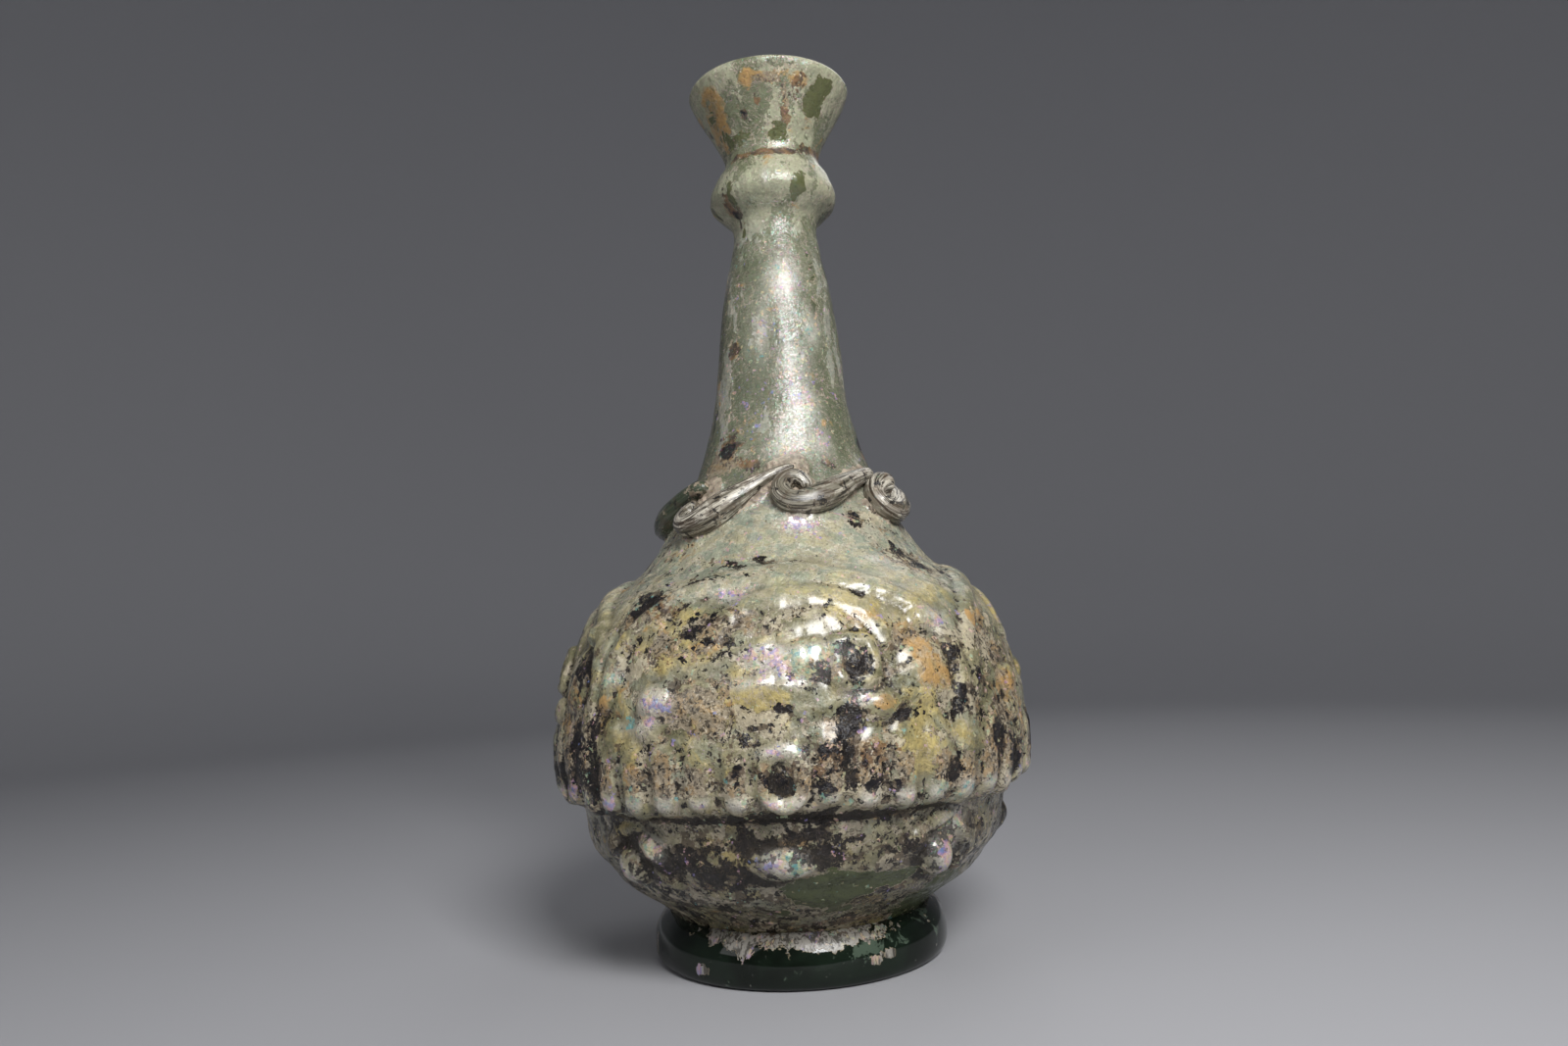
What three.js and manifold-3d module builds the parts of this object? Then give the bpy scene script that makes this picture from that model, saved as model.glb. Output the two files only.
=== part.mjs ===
import * as THREE from 'three';
import { mergeVertices } from 'three/addons/utils/BufferGeometryUtils.js';
import Module from 'manifold-3d';

// A tall-necked flask of blown glass, standing on z = 0 with +Z up, in millimetres.
// One bubble, blown into a patterned mould and then drawn into a long neck with a hollow
// bulge and a funnel mouth, carries an applied foot ring, a pontil scar under the base
// and seven applied scrolls round the root of the neck. Azimuth 0 is the front, -Y.

// Overall sizes
const overallHeight = 270;
const neckLean = 2.7;
const wallThickness = 3;
const floorThickness = 4;
const seatGap = 0.3;
const overrun = 2;

// Bubble: diameter and height of each level where its outline turns
const baseDiameter = 76;
const baseHeight = 11;
const kickHeight = 7.5;
const bowlDiameter = 125;
const bowlHeight = 42;
const bellyDiameter = 140.4;
const bellyHeight = 66;
const shoulderDiameter = 126;
const shoulderHeight = 97;
const slopeDiameter = 92;
const neckRootDiameter = 65;
const neckRootHeight = 132;
const neckTopDiameter = 26.8;
const neckTopHeight = 221;
const bulgeDiameter = 40.6;
const bulgeHeight = 232.8;
const throatDiameter = 30.4;
const throatHeight = 246;
const mouthDiameter = 52;
const slopeHeightShare = 0.457;
const slopeHeight = THREE.MathUtils.lerp(shoulderHeight, neckRootHeight, slopeHeightShare);

// Foot ring, applied round the base
const footDiameter = 88;
const footHeight = 14.4;
const footBulgeHeight = 5.5;
const restOuterDiameter = 84;
const restInnerDiameter = 69;
const footHollowDiameter = 60;

// Pontil scar, left under the middle of the base
const pontilDiameter = 17;
const pontilHoleDiameter = 9;
const pontilThickness = 1.8;

// Mould relief: the raised band round the belly, cut into tongues, with a stud in every middle
const tongueProud = 3.3;
const tongueTopProud = 2.2;
const tongueDip = 1.1;
const studLength = 16;
const bandFootShare = 0.275;
const bandEdgeShare = 0.383;
const tongueFootShare = 0.508;
const studHeightShare = 0.7;
const bandFadeShare = 0.833;
const bandTopShare = 0.258;
const bandFootHeight = THREE.MathUtils.lerp(bowlHeight, bellyHeight, bandFootShare);
const bandEdgeHeight = THREE.MathUtils.lerp(bowlHeight, bellyHeight, bandEdgeShare);
const tongueFootHeight = THREE.MathUtils.lerp(bowlHeight, bellyHeight, tongueFootShare);
const studHeight = THREE.MathUtils.lerp(bowlHeight, bellyHeight, studHeightShare);
const bandFadeHeight = THREE.MathUtils.lerp(bowlHeight, bellyHeight, bandFadeShare);
const bandTopHeight = THREE.MathUtils.lerp(bellyHeight, shoulderHeight, bandTopShare);

// Mould relief: arched panels, the cords that edge them and the bosses inside
const archFootShare = 0.42;
const archTopShare = 0.75;
const archFootHeight = THREE.MathUtils.lerp(bellyHeight, shoulderHeight, archFootShare);
const archRise = THREE.MathUtils.lerp(shoulderHeight, slopeHeight, archTopShare) - archFootHeight;
const archSpanShare = 0.95;
const archSquareness = 2.4;
const innerFootShare = 0.84;
const innerTopShare = 0.44;
const innerFootHeight = THREE.MathUtils.lerp(bellyHeight, shoulderHeight, innerFootShare);
const innerRise = THREE.MathUtils.lerp(shoulderHeight, slopeHeight, innerTopShare) - innerFootHeight;
const innerSpanShare = 0.44;
const innerSquareness = 2;
const innerTurn = THREE.MathUtils.degToRad(4);
const cordWidth = 7;
const archProud = 1.7;
const innerProud = 0.8;
const bossProud = 3;

// Applied scrolls: the height of their eyes over the root of the neck, and the sizes of one as
// shares of the room that it has round the neck
const scrollLift = 1.6;
const scrollHeight = neckRootHeight + scrollLift;
const strandWidthShare = 0.232;
const strandDepthShare = 0.268;
const strandLiftShare = 0.07;
const curlTipShare = 0.141;
const curlInnerShare = 0.095;
const curlOuterShare = 0.162;
const scrollSagShare = 0.162;
const armLengthShare = 1.02;
const armRiseShare = 0.278;

// How many of each
const panelCount = 4;
const tonguesPerPanel = 10;
const scrollCount = 7;

// Columns round each faceted surface: some for each tongue and for the stud in the middle
const tongueColumns = 3;
const studColumns = 4;
const columnsPerPanel = tongueColumns * tonguesPerPanel + studColumns;
const reliefColumns = panelCount * columnsPerPanel;
const bodyColumns = 44;
const neckColumns = 32;
const cavityColumns = 20;

// Where the pattern and the scrolls start, from the front
const panelTurn = THREE.MathUtils.degToRad(-2);
const scrollTurn = THREE.MathUtils.degToRad(6);

const wasm = await Module();
wasm.setup();

// A shape's outline

// One stretch of an outline: a smooth curve from one level to the next through points given
// as shares of the way across and of the way up.
function stretch(from, to, shares, rows) {
  const through = shares.map(([across, up]) => new THREE.Vector2(
    THREE.MathUtils.lerp(from.x, to.x, across),
    THREE.MathUtils.lerp(from.y, to.y, up),
  ));
  return new THREE.SplineCurve([from, ...through, to]).getSpacedPoints(rows).slice(1);
}

// Direction square to an outline at one of its points, to the right of its run.
function outwardAt(outline, i) {
  const before = outline[Math.max(i - 1, 0)];
  const after = outline[Math.min(i + 1, outline.length - 1)];
  const along = after.clone().sub(before).normalize();
  return new THREE.Vector2(along.y, -along.x);
}

function offsetOutline(outline, distance) {
  return outline.map((point, i) => point.clone().addScaledVector(outwardAt(outline, i), distance));
}

// The levels of the bubble, as radius and height
const baseEdge = new THREE.Vector2(baseDiameter / 2, baseHeight);
const bowlEdge = new THREE.Vector2(bowlDiameter / 2, bowlHeight);
const belly = new THREE.Vector2(bellyDiameter / 2, bellyHeight);
const shoulder = new THREE.Vector2(shoulderDiameter / 2, shoulderHeight);
const slope = new THREE.Vector2(slopeDiameter / 2, slopeHeight);
const neckRoot = new THREE.Vector2(neckRootDiameter / 2, neckRootHeight);
const neckTop = new THREE.Vector2(neckTopDiameter / 2, neckTopHeight);
const bulge = new THREE.Vector2(bulgeDiameter / 2, bulgeHeight);
const throat = new THREE.Vector2(throatDiameter / 2, throatHeight);
const lip = new THREE.Vector2(mouthDiameter / 2, overallHeight - wallThickness / 2);

// The shape of each stretch between two levels, as shares across and up
const bowlFootShares = [[0.06, 0.24], [0.3, 0.46], [0.5, 0.64]];
const bowlShares = [[0.33, 0.24], [0.7, 0.47], [0.92, 0.73]];
const bellyShares = [[0.06, 0.12], [0.16, 0.21], [0.53, 0.32], [0.77, 0.49], [0.94, 0.73]];
const shoulderShares = [[0.06, 0.28], [0.19, 0.45], [0.45, 0.68], [0.8, 0.9]];
const slopeShares = [[0.13, 0.22], [0.38, 0.52]];
const rootShares = [[0.33, 0.27], [0.65, 0.6]];
const neckShares = [
  [0.2, 0.09], [0.35, 0.17], [0.47, 0.26], [0.6, 0.39], [0.715, 0.63], [0.82, 0.8], [0.93, 0.91],
];
const underBulgeShares = [[0.1, 0.35], [0.46, 0.57], [0.86, 0.8]];
const overBulgeShares = [[0.06, 0.19], [0.28, 0.4], [0.5, 0.6], [0.85, 0.8]];
const funnelShares = [[0.06, 0.15], [0.27, 0.37], [0.52, 0.59], [0.84, 0.84]];

// Where the mould's relief starts, between the edge of the base and the bowl
const [startAcross, startUp] = [0.62, 0.46];
const reliefStart = new THREE.Vector2(
  THREE.MathUtils.lerp(baseEdge.x, bowlEdge.x, startAcross),
  THREE.MathUtils.lerp(baseEdge.y, bowlEdge.y, startUp),
);

// The wall from the edge of the base to the lip: each stretch with its shares and its rows
const wallStretches = [
  [baseEdge, reliefStart, bowlFootShares, 4],
  [reliefStart, bowlEdge, bowlShares, 5],
  [bowlEdge, belly, bellyShares, 9],
  [belly, shoulder, shoulderShares, 8],
  [shoulder, slope, slopeShares, 5],
  [slope, neckRoot, rootShares, 5],
  [neckRoot, neckTop, neckShares, 10],
  [neckTop, bulge, underBulgeShares, 4],
  [bulge, throat, overBulgeShares, 6],
  [throat, lip, funnelShares, 4],
];
const wallOutline = [baseEdge, ...wallStretches.flatMap((ends) => stretch(...ends))];

// The base is pushed up in the middle, so that the flask stands on its ring alone.
function kickedBase(radius, height) {
  const [crownShare, skirtShare, edgeShare] = [0.3, 0.45, 0.8];
  const steps = 5;
  const middle = new THREE.Vector2(0, height + kickHeight);
  const kick = new THREE.CubicBezierCurve(
    middle,
    new THREE.Vector2(radius * crownShare, middle.y),
    new THREE.Vector2(radius * skirtShare, height),
    new THREE.Vector2(radius * edgeShare, height),
  );
  return kick.getPoints(steps);
}

// One side of the fire-polished rim: a quarter round from the wall to the top.
function rimQuarter(side) {
  const rimRadius = wallThickness / 2;
  const steps = 3;
  return Array.from({ length: steps + 1 }, (_, i) => {
    const angle = Math.PI / 2 * i / steps;
    return new THREE.Vector2(
      lip.x - rimRadius + side * rimRadius * Math.cos(angle),
      lip.y + rimRadius * Math.sin(angle),
    );
  });
}

// Places on the wall

// The hand-drawn neck leans a little to one side, more and more from the belly up.
function leanAt(height) {
  const share = THREE.MathUtils.clamp((height - bellyHeight) / (overallHeight - bellyHeight), 0, 1);
  return neckLean * Math.sin(share * Math.PI / 2);
}

// Turns (radius, height) at an azimuth into a place on the leaning flask.
function placeAt(azimuth, radius, height) {
  return new THREE.Vector3(
    radius * Math.sin(azimuth) + leanAt(height),
    -radius * Math.cos(azimuth),
    height,
  );
}

// Radius of the plain wall at a height, with the direction square to it.
function wallAt(height) {
  const found = wallOutline.findIndex((point) => point.y > height);
  const above = THREE.MathUtils.clamp(found, 1, wallOutline.length - 1);
  const low = wallOutline[above - 1];
  const high = wallOutline[above];
  const share = (height - low.y) / (high.y - low.y);
  const out = outwardAt(wallOutline, above - 1).lerp(outwardAt(wallOutline, above), share).normalize();
  return { radius: THREE.MathUtils.lerp(low.x, high.x, share), out };
}

function onWall(azimuth, height, raised) {
  const wall = wallAt(height);
  return placeAt(azimuth, wall.radius + wall.out.x * raised, height + wall.out.y * raised);
}

function wallNormal(azimuth, height) {
  const wall = wallAt(height);
  return new THREE.Vector3(
    wall.out.x * Math.sin(azimuth),
    -wall.out.x * Math.cos(azimuth),
    wall.out.y,
  );
}

// The mould's relief, raised from the plain wall

// A soft swelling: 1 in its middle and 0 from a share of 1 outwards.
function pillow(share) {
  const [flatness, steepness] = [2.4, 0.8];
  return share < 1 ? (1 - share ** flatness) ** steepness : 0;
}

// Bosses of one panel: place as shares of its half width and height, then width and length as
// shares of its height, how proud it stands and its turn as a share of a half turn
const bossShares = [
  [-0.62, -0.03, 0.35, 0.29, 0.77, 0.03],
  [-0.62, -0.25, 0.36, 0.26, 0.67, 0],
  [-0.41, -0.21, 0.6, 0.65, 0.3, 0],
  [-0.38, -0.38, 0.48, 0.11, 0.43, -0.19],
  [-0.12, 0.04, 0.33, 0.19, 0.43, 0.1],
  [0.14, 0.25, 0.33, 0.28, 0.5, 0],
  [0.35, 0.2, 0.42, 0.42, 0.67, 0],
  [0.46, -0.13, 0.37, 0.25, 0.53, 0.08],
  [0.04, 0.01, 0.32, 0.2, 0.3, 0],
  [0.73, 0.12, 0.49, 0.5, 0.5, 0.03],
  [-0.87, -0.34, 0.26, 0.38, 0.67, 0],
  [0.78, 0.5, 0.26, 0.2, 0.8, 0],
  [0.96, 0.38, 0.26, 0.35, 0.5, 0],
  [-0.93, 0.26, 0.32, 0.41, 0.53, 0],
  [-0.73, 0.56, 0.4, 0.2, 0.4, 0.11],
  [0.93, -0.24, 0.24, 0.47, 0.47, 0],
  [-0.04, -1.25, 0.6, 0.26, 0.67, 0],
];

// Bosses of the cluster between two panels, low on the bowl, in the same shares. Every second
// cluster lies a little further round.
const clusterShares = [
  [-0.05, -1.31, 0.35, 0.29, 1.23, -0.11],
  [-0.2, -1.16, 0.23, 0.22, 0.67, 0.14],
  [-0.07, -1.03, 0.53, 0.12, 0.5, 0.07],
  [0.12, -1.16, 0.35, 0.15, 0.73, -0.19],
  [0.18, -1.41, 0.27, 0.11, 0.53, -0.14],
];
const clusterSway = THREE.MathUtils.degToRad(4.2);

// Half of a panel's width at the belly, its height, and the widths of a tongue and of a stud
const panelAngle = 2 * Math.PI / panelCount;
const halfPanelWidth = panelAngle / 2 * belly.x;
const panelHeight = archRise + cordWidth / 2;
const tongueWidth = 2 * halfPanelWidth * tongueColumns / columnsPerPanel;
const studWidth = 2 * halfPanelWidth * studColumns / columnsPerPanel;

// How far a boss raises the wall at a place given from the middle of its panel.
function bossAt(around, height, [across, up, width, length, proud, turn]) {
  const x = around - across * halfPanelWidth;
  const y = height - archFootHeight - up * panelHeight;
  const cos = Math.cos(turn * Math.PI);
  const sin = Math.sin(turn * Math.PI);
  const share = Math.hypot(
    (x * cos + y * sin) / (width * panelHeight / 2),
    (y * cos - x * sin) / (length * panelHeight / 2),
  );
  return bossProud * proud * pillow(share);
}

// The two arches of a panel. The higher its squareness, the squarer an arch's shoulders.
const outerArch = {
  halfSpan: halfPanelWidth * archSpanShare,
  foot: archFootHeight,
  rise: archRise,
  squareness: archSquareness,
  proud: archProud,
};
const innerArch = {
  halfSpan: halfPanelWidth * innerSpanShare,
  foot: innerFootHeight,
  rise: innerRise,
  squareness: innerSquareness,
  proud: innerProud,
};

// A raised cord along an arch: the distance to the arch is measured square to it.
function archAt(around, height, { halfSpan, foot, rise, squareness, proud }) {
  const up = Math.max(height - foot, 0);
  const reach = ((Math.abs(around) / halfSpan) ** squareness + (up / rise) ** squareness)
    ** (1 / squareness);
  const slack = reach > 0 ? Math.hypot(around, up) * Math.abs(1 - 1 / reach) : rise;
  const below = Math.max(foot - height, 0);
  return proud * pillow(Math.hypot(slack, below) / (cordWidth / 2));
}

// The band round the belly: a low shelf, with tongues that are round at the foot, a thin cord
// between each two of them and an upright stud in the middle.
function bandAt(around, height) {
  const { lerp, smoothstep } = THREE.MathUtils;
  const [shelfShare, cordShare] = [0.36, 0.62];
  const dipped = height - tongueDip * Math.cos(around / belly.x * panelCount);
  const proud = lerp(tongueProud, tongueTopProud, smoothstep(height, bandEdgeHeight, studHeight))
    * (1 - smoothstep(height, bandFadeHeight, bandTopHeight));
  const shelf = shelfShare * smoothstep(dipped, bandFootHeight, bandEdgeHeight);
  const fromStud = Math.abs(around) - studWidth / 2;
  if (fromStud < 0) {
    const past = Math.max(Math.abs(height - studHeight) - (studLength - studWidth) / 2, 0);
    return proud * Math.max(shelf, pillow(Math.hypot(around, past) / (studWidth / 2)));
  }
  const x = THREE.MathUtils.euclideanModulo(fromStud, tongueWidth) - tongueWidth / 2;
  const below = Math.max(tongueFootHeight - dipped, 0);
  const tongue = pillow(Math.hypot(x, below) / (tongueWidth / 2));
  const onCord = tongueWidth / 2 - Math.abs(x) < tongueWidth / tongueColumns / 2;
  const cord = onCord ? cordShare * smoothstep(dipped, bandEdgeHeight, tongueFootHeight) : 0;
  return proud * Math.max(tongue, cord, shelf);
}

// Everything the mould raises at an azimuth and a height.
function reliefAt(azimuth, height) {
  const turned = (azimuth - panelTurn) / panelAngle;
  const fromMiddle = (turned - Math.round(turned)) * panelAngle;
  const nearest = Math.round(turned - 0.5);
  const sway = nearest % 2 === 0 ? -clusterSway : clusterSway;
  const fromBorder = (turned - 0.5 - nearest) * panelAngle - sway;
  const around = fromMiddle * belly.x;
  const fromSide = fromBorder * belly.x;
  return Math.max(
    bandAt(around, height),
    archAt(around, height, outerArch),
    archAt(around - innerTurn * belly.x, height, innerArch),
    ...bossShares.map((shares) => bossAt(around, height, shares)),
    ...clusterShares.map((shares) => bossAt(fromSide, height, shares)),
  );
}

// Solids

// Turns a closed three.js geometry into a solid that can be joined and cut.
function toSolid(geometry) {
  const bare = geometry.clone();
  bare.deleteAttribute('normal');
  bare.deleteAttribute('uv');
  const merged = mergeVertices(bare);
  return new wasm.Manifold(new wasm.Mesh({
    numProp: 3,
    vertProperties: new Float32Array(merged.attributes.position.array),
    triVerts: new Uint32Array(merged.index.array),
  }));
}

// Turns a finished solid back into a three.js geometry.
function toGeometry(solid) {
  const mesh = solid.getMesh();
  const geometry = new THREE.BufferGeometry();
  geometry.setAttribute('position', new THREE.BufferAttribute(mesh.vertProperties, mesh.numProp));
  geometry.setIndex(new THREE.BufferAttribute(mesh.triVerts, 1));
  geometry.computeVertexNormals();
  return geometry;
}

// Joins a stack of rings, each with its own number of columns, into one closed skin. The first
// and the last ring are single points on the axis.
function ringStack(rings) {
  const places = rings.flat();
  const starts = rings.map((_, i) => rings.slice(0, i).reduce((sum, ring) => sum + ring.length, 0));
  const corners = [];
  for (let i = 0; i + 1 < rings.length; i += 1) {
    const low = rings[i].length;
    const high = rings[i + 1].length;
    let a = low === 1 ? 1 : 0;
    let b = high === 1 ? 1 : 0;
    while (a < low || b < high) {
      const lowHere = starts[i] + a % low;
      const highHere = starts[i + 1] + b % high;
      if (a < low && (b >= high || (a + 1) / low <= (b + 1) / high)) {
        corners.push(lowHere, starts[i] + (a + 1) % low, highHere);
        a += 1;
      } else {
        corners.push(lowHere, starts[i + 1] + (b + 1) % high, highHere);
        b += 1;
      }
    }
  }
  const geometry = new THREE.BufferGeometry().setFromPoints(places);
  geometry.setIndex(corners);
  return geometry;
}

// One ring at a point of an outline, raised by the relief where it has the columns to show it.
function ringAt(outline, i, columns) {
  const point = outline[i];
  if (point.x === 0) {
    return [placeAt(0, 0, point.y)];
  }
  const out = outwardAt(outline, i);
  return Array.from({ length: columns }, (_, column) => {
    const azimuth = panelTurn + 2 * Math.PI * column / columns;
    const raised = columns === reliefColumns ? reliefAt(azimuth, point.y) : 0;
    return placeAt(azimuth, point.x + out.x * raised, point.y + out.y * raised);
  });
}

// Columns of the outer skin: many where the relief is, fewer on the slim neck.
function columnsAt(point) {
  if (point.y > neckRootHeight) {
    return neckColumns;
  }
  return point.y > reliefStart.y && point.y < slopeHeight ? reliefColumns : bodyColumns;
}

// The bubble: up the outside, over the rim, and down the hollow inside.
function bubbleGeometry() {
  const outside = [
    ...kickedBase(baseEdge.x, baseEdge.y),
    ...wallOutline.slice(0, -1),
    ...rimQuarter(1),
  ];
  const innerWall = offsetOutline(wallOutline, -wallThickness).filter((_, i) => i % 2 === 1);
  const floor = kickedBase(innerWall[1].x, baseHeight + floorThickness);
  const inside = [...floor, ...innerWall.slice(2, -1), ...rimQuarter(-1).slice(0, -1)].reverse();
  return ringStack([
    ...outside.map((point, i) => ringAt(outside, i, columnsAt(point))),
    ...inside.map((point, i) => ringAt(inside, i, cavityColumns)),
  ]);
}

// The space that the bubble takes, with the gap that a seated piece keeps to it
function seatSolid() {
  const rowsPastRoot = 3;
  const top = wallOutline.findIndex((point) => point.y > neckRootHeight) + rowsPastRoot;
  const skin = [
    ...kickedBase(baseEdge.x, baseEdge.y).map((point) => point.clone().setY(point.y - seatGap)),
    ...offsetOutline(wallOutline.slice(0, top), seatGap),
  ];
  const rings = skin.map((point, i) => ringAt(skin, i, columnsAt(point)));
  const lid = new THREE.Vector2(0, skin.at(-1).y + overrun);
  return toSolid(ringStack([...rings, ringAt([lid], 0, 1)]));
}

// Revolves an outline round the upright axis, its first facet in line with the wall's.
function revolve(points, columns) {
  const outline = points.map(([radius, height]) => new THREE.Vector2(radius, height));
  const geometry = new THREE.LatheGeometry(outline, columns, panelTurn);
  geometry.rotateX(Math.PI / 2);
  return geometry;
}

// The applied foot: a thick ring of glass, flat where it rests, hugging the edge of the base
function footGeometry() {
  const hollow = footHollowDiameter / 2;
  const widest = footDiameter / 2;
  const round = widest - restOuterDiameter / 2;
  const turnHeight = footBulgeHeight / 3;
  const slopeStart = (footBulgeHeight + footHeight) / 2;
  const underBase = baseHeight - seatGap;
  const crease = wallAt(footHeight);
  const hugged = offsetOutline(wallOutline, seatGap)
    .filter((point) => point.y < footHeight)
    .map((point) => [point.x, point.y])
    .reverse();
  return revolve([
    [hollow, underBase],
    [hollow, footBulgeHeight],
    [hollow + round / 2, turnHeight],
    [restInnerDiameter / 2, 0],
    [restOuterDiameter / 2, 0],
    [widest - round / 4, turnHeight],
    [widest, footBulgeHeight],
    [widest - round / 4, slopeStart],
    [widest - round, footHeight - round / 2],
    [crease.radius + seatGap / crease.out.x, footHeight],
    ...hugged,
    [baseDiameter / 2, underBase],
    [hollow, underBase],
  ], bodyColumns);
}

// Height of the pushed-up base at a distance from the axis
function kickAt(radius) {
  const kick = kickedBase(baseEdge.x, baseEdge.y);
  const outer = kick.findIndex((point) => point.x > radius);
  const share = (radius - kick[outer - 1].x) / (kick[outer].x - kick[outer - 1].x);
  return THREE.MathUtils.lerp(kick[outer - 1].y, kick[outer].y, share);
}

// The scar that the pontil rod left: a low broken-off ring under the pushed-up base
function pontilGeometry() {
  const hole = pontilHoleDiameter / 2;
  const edge = pontilDiameter / 2;
  const round = pontilThickness / 2;
  const top = (radius) => kickAt(radius) - seatGap;
  return revolve([
    [hole, top(hole)],
    [hole, top(hole) - round],
    [hole + round, top(hole) - pontilThickness],
    [edge - round, top(edge) - pontilThickness],
    [edge, top(edge) - round],
    [edge, top(edge)],
    [hole, top(hole)],
  ], cavityColumns);
}

// Room along the wall for each scroll, and the sizes of a scroll that are worked out from it
const scrollPitch = 2 * Math.PI * wallAt(scrollHeight).radius / scrollCount;
const strandWidth = scrollPitch * strandWidthShare;
const strandDepth = scrollPitch * strandDepthShare;
const strandLift = scrollPitch * strandLiftShare;
const curlTipWidth = scrollPitch * curlTipShare;
const curlInnerRadius = scrollPitch * curlInnerShare;
const curlOuterRadius = scrollPitch * curlOuterShare;
const scrollSag = scrollPitch * scrollSagShare;
const armLength = scrollPitch * armLengthShare;
const armRise = scrollPitch * armRiseShare;

// Each scroll is laid by hand: turns of its curl, how far its eye sags and how wide its arm
// ends, as shares of a turn, of the sag and of the strand's width
const scrollShares = [
  [0.7, 0, 0.42],
  [0.6, 0.5, 0.5],
  [0.68, 0.1, 0.42],
  [0.55, 0.6, 0.5],
  [0.7, 0.2, 0.42],
  [0.55, 0.5, 0.9],
  [0.4, 1, 0.4],
];

// The run of a scroll, given as a share of its length: round the curl first, then along the
// arm, which rises over the eye of the next scroll. x runs round the wall and y is the height.
function scrollRun(share, turns, eyeHeight, nextEyeHeight) {
  const curlShare = 0.5;
  const [setOffShare, bendShare, climbShare] = [0.28, 0.5, 0.85];
  if (share < curlShare) {
    const done = share / curlShare;
    const angle = 2 * Math.PI * (0.75 - turns * (1 - done));
    const radius = THREE.MathUtils.lerp(curlInnerRadius, curlOuterRadius, done);
    return new THREE.Vector2(radius * Math.cos(angle), eyeHeight + radius * Math.sin(angle));
  }
  const low = eyeHeight - curlOuterRadius;
  const high = nextEyeHeight + armRise;
  const arm = new THREE.CubicBezierCurve(
    new THREE.Vector2(0, low),
    new THREE.Vector2(armLength * setOffShare, low),
    new THREE.Vector2(armLength * bendShare, THREE.MathUtils.lerp(low, high, climbShare)),
    new THREE.Vector2(armLength, high),
  );
  return arm.getPoint((share - curlShare) / (1 - curlShare));
}

// One applied scroll: a round-ended strand whose rings follow its run over the wall. It is
// trimmed below, so that it lies on the wall as soft glass does.
function scrollSolid(index, seat) {
  const [turns, sagShare, tipShare] = scrollShares[index];
  const nextSagShare = scrollShares[(index + 1) % scrollCount][1];
  const eye = scrollTurn + 2 * Math.PI * index / scrollCount;
  const eyeHeight = scrollHeight - sagShare * scrollSag;
  const nextEyeHeight = scrollHeight - nextSagShare * scrollSag;
  const midRadius = wallAt(scrollHeight).radius;
  const placed = (share) => {
    const run = scrollRun(THREE.MathUtils.clamp(share, 0, 1), turns, eyeHeight, nextEyeHeight);
    return { azimuth: eye + run.x / midRadius, height: run.y };
  };
  const [strandColumns, strandRings] = [7, 24];
  const nearby = 0.01;
  const [fullShare, thinningShare, bluntness] = [0.45, 0.72, 4];
  const geometry = new THREE.SphereGeometry(1, strandColumns, strandRings);
  const places = geometry.attributes.position;
  for (let i = 0; i < places.count; i += 1) {
    const corner = new THREE.Vector3().fromBufferAttribute(places, i);
    const share = Math.acos(THREE.MathUtils.clamp(corner.y, -1, 1)) / Math.PI;
    const here = placed(share);
    const before = placed(share - nearby);
    const after = placed(share + nearby);
    const along = onWall(after.azimuth, after.height, strandLift)
      .sub(onWall(before.azimuth, before.height, strandLift));
    const normal = wallNormal(here.azimuth, here.height);
    const side = new THREE.Vector3().crossVectors(normal, along).normalize();
    const grown = THREE.MathUtils.smoothstep(share, 0, fullShare);
    const thinned = THREE.MathUtils.smoothstep(share, thinningShare, 1);
    const drawn = THREE.MathUtils.lerp(curlTipWidth, strandWidth, grown);
    const width = THREE.MathUtils.lerp(drawn, strandWidth * tipShare, thinned);
    const depth = width * strandDepth / strandWidth;
    const rounded = Math.sqrt(Math.min(1, Math.sin(Math.PI * share) * bluntness));
    const round = Math.hypot(corner.x, corner.z) || 1;
    const centre = onWall(here.azimuth, here.height, strandLift);
    centre.addScaledVector(side, width / 2 * rounded * corner.x / round);
    centre.addScaledVector(normal, depth / 2 * rounded * corner.z / round);
    places.setXYZ(i, centre.x, centre.y, centre.z);
  }
  return toSolid(geometry).subtract(seat);
}

// The flask put together

const object = new THREE.Group();

function addPiece(name, geometry, color, roughness) {
  const material = new THREE.MeshStandardMaterial({ color, roughness, metalness: 0 });
  const mesh = new THREE.Mesh(geometry, material);
  mesh.name = name;
  object.add(mesh);
}

addPiece('vessel', bubbleGeometry(), 0x9a9c78, 0.35);
addPiece('foot_ring', footGeometry(), 0x1e2a20, 0.15);
addPiece('pontil_scar', pontilGeometry(), 0x4a5238, 0.3);
const seat = seatSolid();
for (let i = 0; i < scrollCount; i += 1) {
  addPiece(`scroll_${i + 1}`, toGeometry(scrollSolid(i, seat)), 0xa89c86, 0.35);
}

export default object;
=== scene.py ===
import math
from types import SimpleNamespace

import bpy
import numpy as np
from mathutils import Matrix, Vector, noise
from mathutils.kdtree import KDTree


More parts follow.
